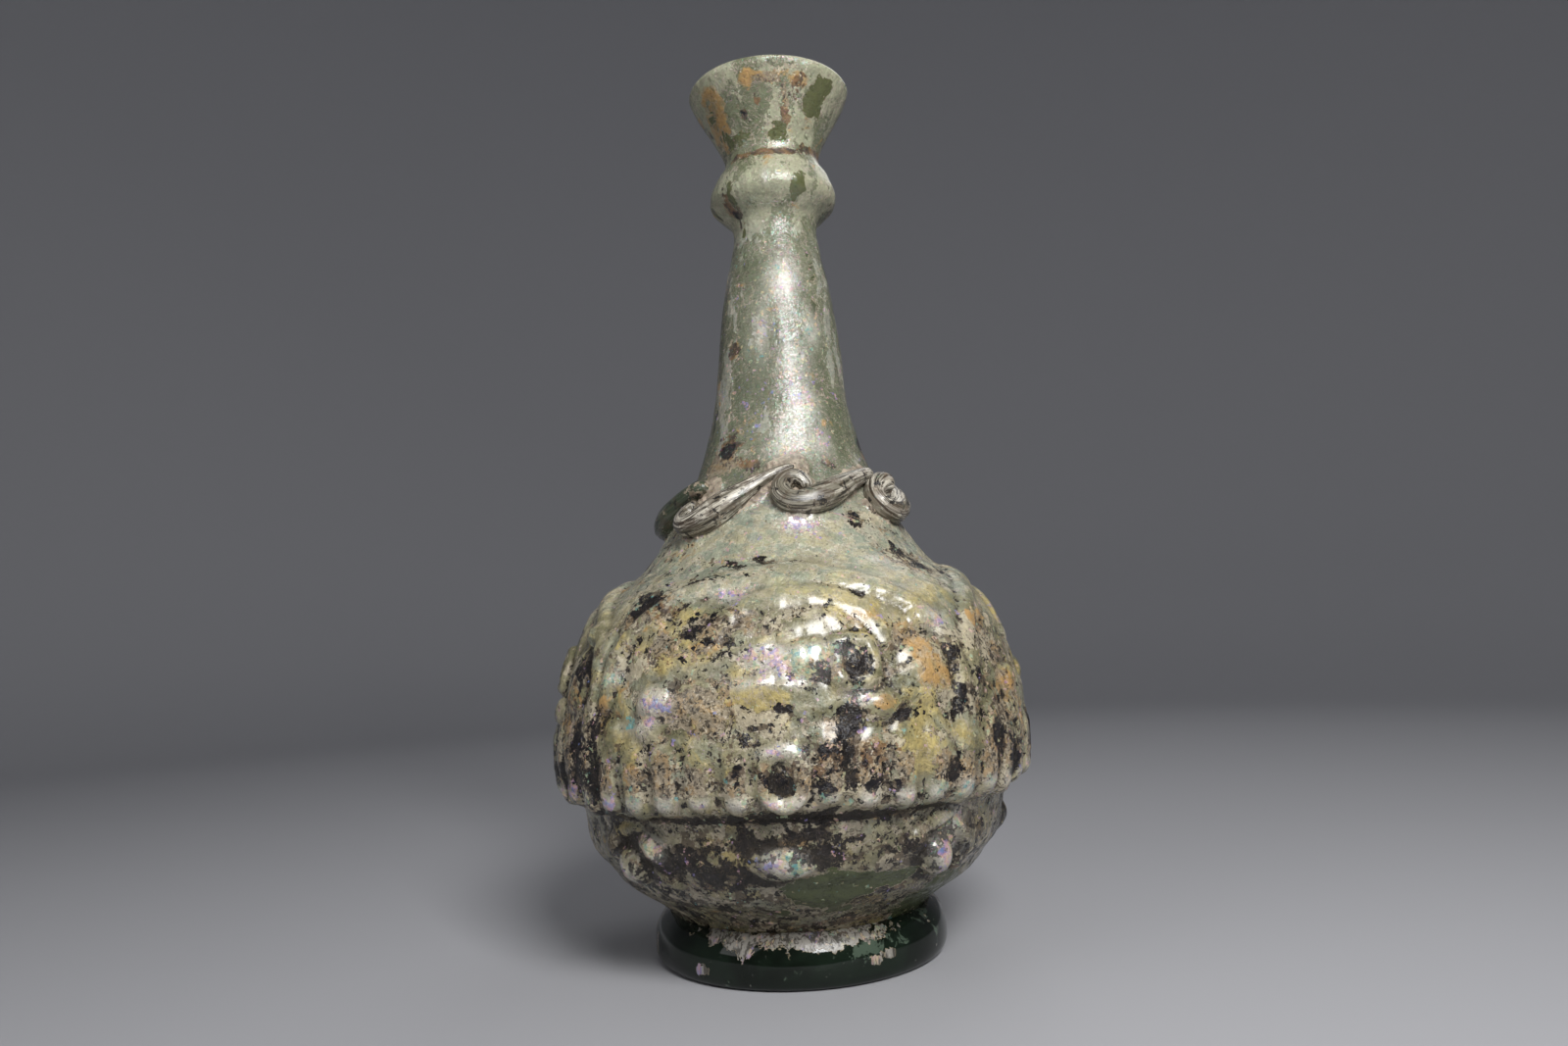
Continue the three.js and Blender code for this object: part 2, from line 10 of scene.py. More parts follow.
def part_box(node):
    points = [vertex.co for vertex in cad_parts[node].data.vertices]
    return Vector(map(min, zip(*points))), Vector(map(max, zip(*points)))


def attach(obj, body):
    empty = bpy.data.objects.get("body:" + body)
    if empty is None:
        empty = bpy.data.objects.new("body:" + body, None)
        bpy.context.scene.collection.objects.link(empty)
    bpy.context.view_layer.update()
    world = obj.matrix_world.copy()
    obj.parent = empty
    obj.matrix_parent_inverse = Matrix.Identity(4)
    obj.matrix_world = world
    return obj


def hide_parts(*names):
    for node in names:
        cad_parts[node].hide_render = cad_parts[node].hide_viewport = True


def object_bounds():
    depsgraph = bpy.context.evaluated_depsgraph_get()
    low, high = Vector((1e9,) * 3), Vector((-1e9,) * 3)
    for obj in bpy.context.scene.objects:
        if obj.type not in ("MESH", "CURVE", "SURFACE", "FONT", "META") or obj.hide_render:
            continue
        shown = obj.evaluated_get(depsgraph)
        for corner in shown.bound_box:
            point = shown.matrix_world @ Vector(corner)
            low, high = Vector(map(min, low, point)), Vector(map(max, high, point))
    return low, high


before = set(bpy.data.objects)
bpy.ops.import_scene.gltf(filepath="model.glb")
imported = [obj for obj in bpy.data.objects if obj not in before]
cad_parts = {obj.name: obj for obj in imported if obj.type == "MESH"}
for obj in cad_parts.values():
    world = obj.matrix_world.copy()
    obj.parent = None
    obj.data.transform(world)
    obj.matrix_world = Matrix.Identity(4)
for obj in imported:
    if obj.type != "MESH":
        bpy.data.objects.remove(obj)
cad_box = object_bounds()

# The vessel
# One bubble of thick green glass, blown into a four-sided patterned mould, drawn up into a long
# neck with a hollow bulge and opened into a funnel. Long burial has covered it with flaking
# cream, ochre and black layers that shine in rainbow colours. All other pieces are fused to it.

# The frame gives the flask's height, and that height sets the millimetre used below.
flask_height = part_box("vessel")[1].z
height_in_mm = 270
mm = flask_height / height_in_mm

# Levels where the wall's outline turns, as (radius, height) in millimetres of the flask
base_edge = (38, 11)
relief_start = (53.2, 25.3)
bowl = (62.5, 42)
shelf = (66.6, 49.6)
belly = (70.2, 66)
shoulder = (63, 97)
slope = (46, 113)
neck_root = (32.5, 132)
neck_top = (13.4, 221)
bulge = (20.3, 232.8)
throat = (15.2, 246)
lip = (26, 268.5)
wall_thickness = 3
floor_thickness = 4
kick_height = 7.5

# Each stretch between two levels runs through points at these shares of its width and height.
wall_stretches = [
    (base_edge, relief_start, [(0.06, 0.24), (0.3, 0.46), (0.5, 0.64)]),
    (relief_start, bowl, [(0.33, 0.24), (0.7, 0.47), (0.92, 0.73)]),
    (bowl, shelf, [(0.12, 0.4), (0.3, 0.66)]),
    (shelf, belly, [(0.5, 0.25), (0.86, 0.6)]),
    (belly, shoulder, [(0.06, 0.28), (0.19, 0.45), (0.45, 0.68), (0.8, 0.9)]),
    (shoulder, slope, [(0.13, 0.22), (0.38, 0.52)]),
    (slope, neck_root, [(0.33, 0.27), (0.65, 0.6)]),
    (neck_root, neck_top, [(0.2, 0.09), (0.35, 0.17), (0.47, 0.26), (0.6, 0.39), (0.715, 0.63),
                           (0.82, 0.8), (0.93, 0.91)]),
    (neck_top, bulge, [(0.1, 0.35), (0.46, 0.57), (0.86, 0.8)]),
    (bulge, throat, [(0.06, 0.19), (0.28, 0.4), (0.5, 0.6), (0.85, 0.8)]),
    (throat, lip, [(0.06, 0.15), (0.27, 0.37), (0.52, 0.59), (0.84, 0.84)]),
]

# How far the neck leans to one side, and where the mould's pattern starts round the body
neck_lean = 2.7
panel_count = 4
panel_turn = math.radians(-2)
panel_angle = 2 * math.pi / panel_count


def smooth_line(points, steps=12):
    """Runs a smooth line through points, in many small steps."""
    ends = [points[0]] + points + [points[-1]]
    line = []
    for i in range(1, len(ends) - 2):
        a, b, c, d = (np.array(p, float) for p in ends[i - 1:i + 3])
        for t in np.arange(steps) / steps:
            line.append(0.5 * (2 * b + (c - a) * t + (2 * a - 5 * b + 4 * c - d) * t ** 2
                               + (3 * b - a - 3 * c + d) * t ** 3))
    return np.array(line + [np.array(points[-1], float)])


def smoothstep(low, high, value):
    share = np.clip((value - low) / (high - low), 0, 1)
    return share * share * (3 - 2 * share)


wall_points = [base_edge]
for start, end, shares in wall_stretches:
    for across, up in shares:
        wall_points.append((start[0] + (end[0] - start[0]) * across,
                            start[1] + (end[1] - start[1]) * up))
    wall_points.append(end)
wall_line = smooth_line(wall_points)


def evenly(line, spacing):
    """The same line with its points a given distance apart."""
    along = np.concatenate([[0], np.cumsum(np.hypot(*np.diff(line, axis=0).T))])
    count = max(2, round(along[-1] / spacing) + 1)
    at = np.linspace(0, along[-1], count)
    return np.stack([np.interp(at, along, line[:, 0]), np.interp(at, along, line[:, 1])], 1)


def outward(line):
    """Directions square to an outline, to the right of its run."""
    along = np.gradient(line, axis=0)
    along /= np.hypot(along[:, 0], along[:, 1])[:, None]
    return np.stack([along[:, 1], -along[:, 0]], 1)


def lean_at(height):
    share = np.clip((height - belly[1]) / (height_in_mm - belly[1]), 0, 1)
    return neck_lean * np.sin(share * math.pi / 2)


# The mould's relief, in millimetres raised from the wall
tongues_per_panel = 10
frame_columns = 4
tongue_angle = panel_angle / (3 * tongues_per_panel + frame_columns) * 3
frame_half_angle = tongue_angle / 3 * frame_columns / 2
tongue_foot, tongue_dip, tongue_stagger = 54.2, 1.1, 0.6
tongue_proud, tongue_top_proud = 3.3, 2.2
tongue_thins, tongue_ends = (51, 60), (62, 74)
band_foot, band_edge, band_share = 48.6, 51.2, 0.36
cord_foot, cord_edge, cord_half_width, cord_share = 50.5, 55, 1.4, 0.62
window_height, window_half_straight, window_stud_height = 58.8, 1.5, 58.6

# A raised rim: how far out it runs and how wide it is, as shares of its frame's half width
rim_share, rim_width_share = 0.74, 0.36

# Bosses of a panel: degrees from its middle, height, half width in degrees, half height, how
# proud it stands, its tilt in degrees and its squareness
panel_bosses = [
    (-28, 78, 4.8, 5, 2.3, 6, 2.6),
    (-28, 70.6, 5, 4.4, 2, 0, 2.2),
    (-18.5, 72, 8.4, 11, 0.9, 0, 2.2),
    (-17, 66, 6.6, 1.9, 1.3, -35, 2),
    (-5.5, 80.5, 4.6, 3.2, 1.3, 18, 2),
    (6.4, 87.5, 4.6, 4.8, 1.5, 0, 3),
    (20.5, 74.5, 5.2, 4.2, 1.6, 15, 2),
    (2, 79.5, 4.4, 3.4, 0.9, 0, 2),
    (33, 83, 6.8, 8.5, 1.5, 6, 2.2),
    (-39, 67.5, 3.6, 6.4, 2, 0, 2.2),
    (35, 96, 3.6, 3.4, 2.4, 0, 2),
    (43, 92, 3.6, 6, 1.5, 0, 2),
    (-42, 88, 4.4, 7, 1.6, 0, 2),
    (-33, 98, 5.5, 3.4, 1.2, 20, 2),
    (-2, 36.6, 8.4, 4.4, 2, 0, 2.2),
    (42, 71, 3.4, 8, 1.4, 0, 2.4),
]

# Bosses low on the bowl, in degrees from the border between two panels
border_bosses = [
    (-2.4, 34.6, 4.8, 5, 3.7, -20, 2),
    (-9, 39.4, 3.2, 3.8, 2, 25, 2),
    (-3, 44, 7.4, 2.1, 1.5, 13, 2.2),
    (5.6, 39.6, 4.8, 2.5, 2.2, -35, 2),
    (8.3, 31, 3.8, 1.9, 1.6, -25, 2),
]
border_sway = math.radians(4.2)

# A framed stud above: degrees from the panel's middle, height, half width, how proud
framed_stud = (16, 86, 6.6, 2)

# Arches over each panel: degrees from its middle, half span as a share of the panel's, height of
# the feet, rise, squareness, half the cord's width and how proud it stands
arches = [
    (0, 0.95, 79, 30, 2.4, 3.5, 1.7),
    (4, 0.44, 92, 12, 2, 3.5, 0.8),
]


def pillow(share):
    """A soft swelling: 1 in the middle and 0 from a share of 1 outwards."""
    return np.clip(1 - np.clip(share, 0, 1) ** 2.4, 0, 1) ** 0.8


def bosses_at(around, height, bosses):
    """How far a set of bosses raises the wall, at angles from the middle of a panel."""
    raised = np.zeros_like(around)
    for degrees, up, half_width, half_height, proud, tilt, squareness in bosses:
        x = (around - math.radians(degrees)) * belly[0]
        y = height - up
        cos, sin = math.cos(math.radians(tilt)), math.sin(math.radians(tilt))
        across = np.abs(x * cos + y * sin) / (math.radians(half_width) * belly[0])
        along = np.abs(y * cos - x * sin) / half_height
        share = (across ** squareness + along ** squareness) ** (1 / squareness)
        raised = np.maximum(raised, proud * pillow(share))
    return raised


def framed_stud_at(around, height):
    """A round stud inside a raised frame with rounded corners."""
    degrees, up, half, proud = framed_stud
    x = np.abs(around - math.radians(degrees)) * belly[0]
    y = np.abs(height - up)
    share = (x ** 4 + y ** 4) ** 0.25 / half
    rim = pillow(np.abs(share - rim_share) / rim_width_share)
    stud = 0.8 * pillow(np.hypot(x, y) / (half * 0.55))
    return proud * np.maximum(np.maximum(rim, stud), 0.3 * pillow(share))


def arch_at(around, height, half_span, foot, rise, squareness, half_width, proud):
    """A raised cord along an arch, measured square to it."""
    x = np.abs(around) * belly[0]
    up = np.maximum(height - foot, 0)
    reach = ((x / half_span) ** squareness + (up / rise) ** squareness) ** (1 / squareness)
    slack = np.hypot(x, up) * np.abs(1 - 1 / np.maximum(reach, 0.02))
    below = np.maximum(foot - height, 0)
    return proud * pillow(np.hypot(slack, below) / half_width)


def proud_at(height):
    """How proud the tongues stand. They fade out towards their tops."""
    proud = tongue_proud + (tongue_top_proud - tongue_proud) * smoothstep(*tongue_thins, height)
    return proud * (1 - smoothstep(*tongue_ends, height))


def tongues_at(around, height):
    """A raised band cut into rounded tongues, with a frame in the middle of each panel."""
    dip = tongue_dip * np.cos(around * panel_count)
    from_frame = np.abs(around) - frame_half_angle
    slot = np.clip(np.floor(from_frame / tongue_angle), 0, tongues_per_panel / 2 - 1)
    half = tongue_angle / 2 * belly[0]
    x = (from_frame - (slot + 0.5) * tongue_angle) * belly[0]
    foot = tongue_foot + dip + tongue_stagger * np.sin(slot * 2.1 + np.sign(around) * 1.3)
    tongue = pillow(np.hypot(x, np.minimum(height - foot, 0)) / half)
    band = band_share * smoothstep(band_foot, band_edge, height - dip)
    cord = pillow((half - np.abs(x)) / cord_half_width) * smoothstep(cord_foot, cord_edge, height - dip)
    cord = cord_share * cord
    x = np.abs(around) * belly[0]
    half = frame_half_angle * belly[0]
    past = np.maximum(np.abs(height - window_height) - window_half_straight, 0)
    share = np.hypot(x, past) / half
    rim = 1.05 * pillow(np.abs(share - rim_share) / rim_width_share)
    stud = 0.8 * pillow(np.hypot(x, height - window_stud_height) / (half * 0.5))
    inside = np.maximum(np.maximum(rim, stud), band)
    outside = np.maximum(np.maximum(tongue, cord), band)
    return proud_at(height) * np.where(from_frame > 0, outside, inside)


def relief_at(azimuth, height):
    """All that the mould raises, in millimetres."""
    panels = (azimuth - panel_turn) / panel_angle
    around = (panels - np.round(panels)) * panel_angle
    nearest = np.round(panels - 0.5)
    sway = border_sway * np.where(nearest % 2 == 0, -1, 1)
    border = (panels - 0.5 - nearest) * panel_angle - sway
    half_panel = panel_angle / 2 * belly[0]
    raised = tongues_at(around, height)
    for degrees, span_share, *arch in arches:
        aside = around - math.radians(degrees)
        raised = np.maximum(raised, arch_at(aside, height, half_panel * span_share, *arch))
    raised = np.maximum(raised, framed_stud_at(around, height))
    raised = np.maximum(raised, bosses_at(around, height, panel_bosses))
    raised = np.maximum(raised, bosses_at(border, height, border_bosses))
    return raised


def grain_at(places, size, octaves, offset):
    """Fractal noise at many places, between about -1 and 1."""
    shift = Vector((offset, offset * 0.37, -offset * 0.71))
    return np.array([noise.fractal(Vector(p) / size + shift, 0.9, 2.1, octaves) for p in places])


def kicked_base(radius, height):
    """The pushed-up base, from its middle to its edge."""
    share = np.linspace(0, 0.8, 14)
    rise = kick_height * (1 - smoothstep(0.12, 0.74, share))
    return np.stack([radius * share, height + rise], 1)


def rim_round():
    """The fire-polished lip, from the outside of the wall to the inside."""
    angle = np.linspace(0, math.pi, 9)[1:-1]
    radius = wall_thickness / 2
    return np.stack([lip[0] - radius + radius * np.cos(angle), lip[1] + radius * np.sin(angle)], 1)


# One closed outline: the pushed-up base, the wall, the lip and back down inside. Its points lie
# closest where the relief is.
plain_from = slope[1] + 3
lower_wall = evenly(wall_line[wall_line[:, 1] < plain_from], spacing=0.9)
upper_wall = evenly(wall_line[wall_line[:, 1] >= plain_from], spacing=1.3)
outer_wall = np.concatenate([lower_wall, upper_wall])
inner_floor = base_edge[1] + floor_thickness
inner_wall = evenly(wall_line, spacing=3.2)
inner_wall = inner_wall - outward(inner_wall) * wall_thickness
inner_wall = inner_wall[inner_wall[:, 1] > inner_floor + 0.8][:-1]
outer_base = kicked_base(*base_edge)
inner_base = kicked_base(inner_wall[0][0], inner_floor)
outline = np.concatenate([outer_base, outer_wall, rim_round(), inner_wall[::-1], inner_base[::-1]])
outside_from = len(outer_base)
outside_to = outside_from + len(outer_wall)


def turned(line, columns):
    """Angle, radius, height and row of each point where an outline is turned round the axis."""
    around, row = np.meshgrid(np.arange(columns) / columns * 2 * math.pi, np.arange(len(line)))
    return around, line[:, 0][row], line[:, 1][row], row


az_grid, radius_grid, height_grid, row_grid = turned(outline, columns=480)
square_grid = outward(outline)[row_grid]
raised_grid = np.zeros_like(radius_grid)
outside = slice(outside_from, outside_to)
raised_grid[outside] = relief_at(az_grid[outside], height_grid[outside])
tongue_share = raised_grid / np.maximum(proud_at(height_grid), 0.4)


def place(azimuth, radius, height):
    """Places on the leaning flask, in millimetres."""
    return np.stack([radius * np.sin(azimuth) + lean_at(height),
                     -radius * np.cos(azimuth), height], -1)


# The wall wobbles a little, under a thin crust that grows quieter up the neck. Its lowest edge
# stays plain. Levels and heights are in millimetres.
wobble_height, crust_height = 0.34, 0.22
crust_quiets, edge_ends = (112, 150), (14, 22)
plain_places = place(az_grid[outside], radius_grid[outside], height_grid[outside]).reshape(-1, 3)
shape = raised_grid[outside].shape
wobble = grain_at(plain_places, size=15, octaves=2, offset=3).reshape(shape)
flakes = grain_at(plain_places, size=4.5, octaves=3, offset=11).reshape(shape)
crust = smoothstep(-0.05, 0.1, flakes) * crust_height + 0.1 * flakes - 0.1
body_share = 1 - smoothstep(*crust_quiets, height_grid[outside])
lowest_share = smoothstep(*edge_ends, height_grid[outside])
quiet_share = 0.3 + 0.7 * body_share
raised_grid[outside] += (wobble_height * wobble + crust * quiet_share) * lowest_share

# How far each place lies in a hollow of the relief, for the dirt and for a painted shade in the
# hollows: the relief is set against its own mean over the places around.
relief = raised_grid[outside]
around_it = relief
smoothing_rounds = 18
for _ in range(smoothing_rounds):
    around_it = (np.roll(around_it, 1, 1) + np.roll(around_it, -1, 1) + 2 * around_it) / 4
    padded = np.pad(around_it, ((1, 1), (0, 0)), mode="edge")
    around_it = (padded[:-2] + padded[2:] + 2 * around_it) / 4
hollow_grid = np.zeros_like(radius_grid)
hollow_grid[outside] = np.clip((around_it - relief) / 0.8, -1, 1)

# Patches of each layer, as the flask shows them in front: degrees from the front, height, half
# width in degrees, half height and strength. The rest of the flask has others like them.
layer_patches = {
    "black": [
        (-54, 64, 3, 9, 1.0), (-47, 58, 4, 7, 0.8), (-56, 87, 4, 5, 1.0), (-62, 56, 4, 5, 0.8),
        (-48, 70, 2.4, 4, 0.6), (-43, 101, 5, 1.8, 0.9), (-37, 103.5, 4, 1.4, 0.8),
        (-22, 98.5, 4, 1.4, 0.8), (-16, 92.5, 4, 1.2, 0.7), (-9, 90, 4, 1.2, 0.6),
        (-14, 99.5, 4, 2, 0.5), (-23.6, 94.5, 2.4, 1.5, 1.4), (11, 88.5, 3.2, 2.2, 1.0),
        (14, 83.5, 2.6, 3.4, 1.0), (4.5, 83.5, 3.6, 2.6, 0.8), (13, 74, 1.8, 3.2, 1.1),
        (11, 69.5, 2.6, 2.4, 0.9), (8, 65, 4, 2.4, 0.8), (-9.3, 68.2, 2.4, 1.8, 0.9),
        (-1.3, 75.6, 1.8, 0.9, 1.3), (-5.6, 71.1, 3, 0.9, 0.8), (23.5, 72.3, 2.4, 1.6, 1.2),
        (38.5, 86, 2.2, 3, 1.0), (46, 80.5, 2, 2.4, 1.0), (39, 74, 2.2, 4.5, 0.9),
        (50, 64.5, 3, 4, 1.0), (58, 58.5, 4, 7, 1.0), (-3, 58.3, 2.4, 2, 1.2), (-1, 56.2, 2, 1.3, 0.9),
        (-11, 61.3, 1.3, 1.4, 1.2), (6, 56.8, 2, 2.6, 0.9), (12, 57.5, 2, 3, 0.9),
        (16, 57, 1.3, 3, 0.9), (21.3, 55.3, 1.4, 2, 1.0), (35, 57, 2.2, 2.4, 0.8),
        (-22, 48.2, 13, 0.9, 1.1), (-2, 48.6, 6, 1, 1.3), (12, 47.8, 9, 1, 1.3), (-47, 49.6, 5, 1, 0.8),
        (32, 49, 6, 0.8, 0.7), (-12, 42.5, 2.2, 3.2, 0.8), (-7, 41.5, 1.8, 2, 0.6),
        (3, 44, 5, 1.2, 1.0), (-0.5, 39.8, 1.6, 2.4, 0.7), (-12, 34, 1.8, 1.8, 1.1),
        (-8, 32, 2.4, 1.2, 1.1), (7, 38.4, 4, 1.8, 1.0), (-26, 38.5, 4, 2.4, 0.9),
        (-20, 34, 4, 2.4, 0.9), (-33, 35, 3, 2.4, 0.8), (47, 115, 4, 2.4, 0.9), (52, 111, 4, 2, 0.9),
        (-42, 105, 6, 1.6, 0.8), (-24, 108.5, 6, 1.4, 0.7), (-18, 113, 4, 1, 0.9),
        (-9, 114.6, 3, 1, 1.0), (18, 103, 3, 0.9, 1.1), (33, 125, 4, 2.4, 1.0), (30, 38, 5, 1.4, 0.6),
        (-70, 62, 5, 10, 0.7), (-42, 149, 9, 4, 1.5), (-54, 226, 6, 2, 1.6), (-27, 255, 5, 3, 0.9),
        (22, 255, 4, 4, 0.9), (34, 249, 5, 2, 0.8),
    ],
    "crust": [
        (-19, 76, 7, 6, 1.1), (-28, 62, 3.4, 4, 0.7), (34, 57, 4, 5, 0.8), (-40, 100, 12, 3, 0.9),
        (-12, 96, 8, 3, 0.7), (16, 62, 8, 4, 1.1), (50, 62, 8, 9, 0.8), (-54, 60, 8, 11, 0.8),
        (8, 67, 8, 5, 0.8), (46, 112, 9, 5, 0.8), (-26, 92, 10, 2.4, 0.8), (8, 85, 8, 4, 0.5),
        (-10, 42, 24, 5, 0.6), (36, 42, 14, 5, 0.6), (-28, 33, 12, 4, 0.8), (28, 23, 12, 3, 0.9),
        (-6, 22, 30, 3, 0.7), (20, 17, 18, 1.6, 1.3), (-24, 17, 14, 1.2, 0.9), (24, 91, 3, 6, 0.5),
        (-50, 34, 8, 8, 0.5), (58, 88, 8, 8, 0.7), (-45, 146, 16, 6, 2.0), (-54, 227, 12, 3, 2.0),
        (5, 243.6, 40, 0.9, 1.8), (2, 263, 20, 3, 1.1), (14, 256, 5, 3, 1.2), (-24, 255, 6, 3, 1.3),
        (6, 250, 4, 3, 1.0),
    ],
    "ochre": [
        (30, 86, 5, 7, 1.0), (34, 79, 3.4, 4, 0.8), (27, 93, 4, 3.4, 0.9), (17.5, 96.8, 4, 2, 0.9),
        (52, 93.6, 4, 3, 1.2), (-44.6, 77.5, 1.8, 2, 1.0), (-45, 72, 3, 3, 0.7), (-35, 60, 2.4, 3, 1.2),
        (64, 66, 3, 5, 0.9), (-33, 96, 4, 2.2, 0.9), (15, 64.5, 6, 2.6, 1.0), (19.4, 75, 3.6, 2.2, 1.1),
        (-20, 91, 5, 1.4, 0.8), (-60, 72, 5, 9, 0.7), (0, 42, 5, 1.6, 0.8), (60, 76, 6, 8, 0.6),
        (-48, 262, 10, 5, 0.9), (-64, 252, 8, 10, 0.7), (24, 264, 8, 2.4, 1.2), (-8, 265, 16, 2, 0.8),
        (-50, 258, 8, 5, 0.8), (-3, 143, 3, 1.4, 1.0), (-42, 181, 3, 2, 1.0), (39, 140, 4, 2, 0.8),
    ],
    "green": [
        (32, 102, 12, 6, 1.1), (-57, 98, 7, 6, 1.0), (-4, 104, 14, 3, 0.8), (-36, 71, 3, 4, 0.6),
        (27, 62, 4, 6, 0.8), (40, 66, 4, 4, 0.8), (-6, 121, 26, 5, 0.9), (20, 112, 12, 4, 0.7),
        (-30, 84, 5, 3, 0.6), (0, 78, 9, 2.4, 0.6), (-24, 100.5, 4, 1.4, 0.6), (2, 92, 9, 2, 0.6),
    ],
    "bare": [
        (9, 28.6, 11, 4.4, 1.6), (20, 30.6, 6, 1.8, 1.1), (28, 30.3, 4, 2, 1.0), (-6, 22, 3, 1.4, 0.7),
        (12, 21.6, 4, 1.2, 0.7), (46, 23, 10, 6, 1.0), (-44, 232, 6, 5, 0.7), (-46, 220, 4, 2, 1.0),
        (56, 16, 16, 5, 1.3), (38, 257, 11, 9, 0.5), (26, 231, 9, 5, 0.6), (-64, 256, 12, 9, 0.45),
        (21, 231, 4, 3, 0.8), (10, 249, 12, 3, 0.9), (48, 262, 9, 5, 0.9), (-30, 249, 20, 3, 0.5),
        (42, 208, 10, 13, 0.5), (36, 190, 5, 8, 0.42), (-70, 200, 6, 24, 0.5), (-66, 160, 6, 10, 0.5),
    ],
    # Painted highlight: these patches get a pearly white painted on, and they are glossier, with a thin
    # film.
    "shine": [
        (-29.5, 77.8, 3.4, 3, 1.1), (-33, 71.7, 3, 2, 0.9), (-2.2, 65.3, 4, 1.2, 0.9),
        (-1.8, 87, 6, 2, 1.3), (6.6, 88.4, 5, 1.6, 1.3), (2.6, 84, 5, 2.4, 1.1),
        (-9.3, 81.7, 3, 1.4, 1.0), (-5, 89.4, 4, 1.4, 1.0), (-43.6, 84, 3, 2, 0.8),
        (14.2, 77.2, 2.4, 1.4, 1.0), (-3.8, 37.8, 3.6, 1.8, 1.4), (0.4, 35.7, 2.6, 1.2, 1.3),
        (-48, 33, 3.4, 3.6, 1.5), (-37, 39.6, 3.2, 2.6, 1.3), (38, 36.6, 3.6, 3.2, 1.4),
        (40.6, 43.7, 3.6, 2.4, 1.1), (36, 96, 3, 2.6, 1.1), (6, 124, 8, 2, 1.4), (33, 113, 4, 1, 0.9),
        (-14, 104, 4, 1.4, 0.8), (5, 202, 14, 6, 1.1), (32, 186, 9, 5, 0.9), (-16, 186, 6, 8, 0.7),
        (14, 176, 12, 4, 0.8), (18, 162, 10, 7, 1.0), (2, 148, 12, 4, 1.1), (26, 149, 8, 4, 0.8),
        (-6, 234, 3, 2, 1.0),
    ],
    "brown": [
        (-50, 228, 9, 5, 0.9), (-46, 181, 7, 3, 0.9), (-40, 150, 12, 4, 0.8), (-20, 143, 8, 3, 0.7),
        (30, 143, 6, 2.4, 0.6), (-62, 172, 4, 4, 0.6), (24, 262, 7, 4, 0.8), (-24, 255.5, 5, 2, 0.8),
        (16, 253, 5, 4, 0.8), (0, 243.6, 40, 1.4, 1.2), (-10, 258.5, 5, 2, 0.5),
        (-46, 244, 4, 1.5, 0.9), (-36, 101, 12, 2.4, 0.6), (24, 27, 8, 2, 0.8), (44, 29, 6, 3, 0.9),
        (5, 62, 6, 4, 0.6), (16, 63, 6, 3, 0.6), (-30, 88, 8, 3, 0.5), (-24, 30, 10, 2.4, 0.6),
        (10, 17, 30, 1.5, 0.6), (-44, 36, 6, 3, 0.5), (50, 76, 4, 8, 0.5), (-58, 76, 5, 8, 0.5),
    ],
    "whitened": [
        (-54, 205, 14, 14, 1.0), (-52, 178, 13, 16, 1.0), (-18, 212, 8, 8, 0.8), (-26, 196, 8, 12, 0.5),
        (60, 186, 12, 34, 0.8), (-60, 158, 10, 8, 0.6), (4, 160, 20, 8, 0.5), (-16, 234, 12, 5, 0.5),
    ],
}


def patches_at(around, height, patches):
    """How strong a set of soft-edged patches is at places round the flask."""
    total = np.zeros_like(height)
    for degrees, up, wide, high, strength in patches:
        off = (np.degrees(around) - degrees + 180) % 360 - 180
        share = (off / wide) ** 2 + ((height - up) / high) ** 2
        total += strength * np.exp(-share * 0.9)
    return total


layer_grids = {}
spread = np.random.default_rng(7)
for layer, patches in layer_patches.items():
    behind = [(spread.uniform(75, 285), up + spread.uniform(-6, 6), wide * 1.15, high, strength)
              for _, up, wide, high, strength in patches + patches[:len(patches) // 2]]
    layer_grids[layer] = np.zeros_like(radius_grid)
    strengths = patches_at(az_grid[outside], height_grid[outside], patches + behind)
    layer_grids[layer][outside] = np.clip(strengths, 0, 1.5)

# The tongues' faces are crusted, from one level to another, and their feet get a pearly gloss and a
# painted highlight.
face_starts, face_ends = (55, 56.5), (61, 66)
on_tongue = smoothstep(0.72, 0.92, tongue_share)
face_share = smoothstep(*face_starts, height_grid) * (1 - smoothstep(*face_ends, height_grid))
foot_share = np.exp(-((height_grid - tongue_foot + 0.6) / 1.5) ** 2)
layer_grids["crust"] += 0.75 * on_tongue * face_share
# Painted highlight along the tongues' feet.
layer_grids["shine"] += 0.8 * on_tongue * foot_share


def ring_mesh(name, places, closed_ends):
    """A skin from a grid of places in rings. Without closed ends, the last ring joins the first."""
    rows, columns = places.shape[:2]
    first = 1 if closed_ends else 0
    kept = places[first:rows - first].reshape(-1, 3)
    ends = [places[0].mean(0), places[-1].mean(0)] if closed_ends else []
    points = np.concatenate([kept, np.array(ends).reshape(-1, 3)]) * mm
    rings = rows - 2 * first
    bands = rings - 1 if closed_ends else rings
    ring, column = np.meshgrid(np.arange(bands), np.arange(columns), indexing="ij")
    beyond, after = (ring + 1) % rings, (column + 1) % columns
    quads = np.stack([ring * columns + column, ring * columns + after,
                      beyond * columns + after, beyond * columns + column], -1).reshape(-1, 4)
    faces = quads.tolist()
    if closed_ends:
        low, high = len(kept), len(kept) + 1
        top = (rings - 1) * columns
        for i in range(columns):
            after = (i + 1) % columns
            faces.append((low, after, i))
            faces.append((high, top + i, top + after))
    mesh = bpy.data.meshes.new(name)
    mesh.from_pydata(points.tolist(), [], faces)
    mesh.shade_smooth()
    piece = bpy.data.objects.new(name, mesh)
    bpy.context.scene.collection.objects.link(piece)
    return piece


def give_values(piece, label, values):
    """Gives each point of a piece a value, for its material to read."""
    attribute = piece.data.attributes.new(label, "FLOAT", "POINT")
    attribute.data.foreach_set("value", values.ravel().astype(np.float32))


def ring_values(piece, label, grid):
    """Gives the points of a ring mesh with closed ends the values of its grid."""
    ends = [grid[0].mean(), grid[-1].mean()]
    give_values(piece, label, np.concatenate([grid[1:-1].ravel(), ends]))


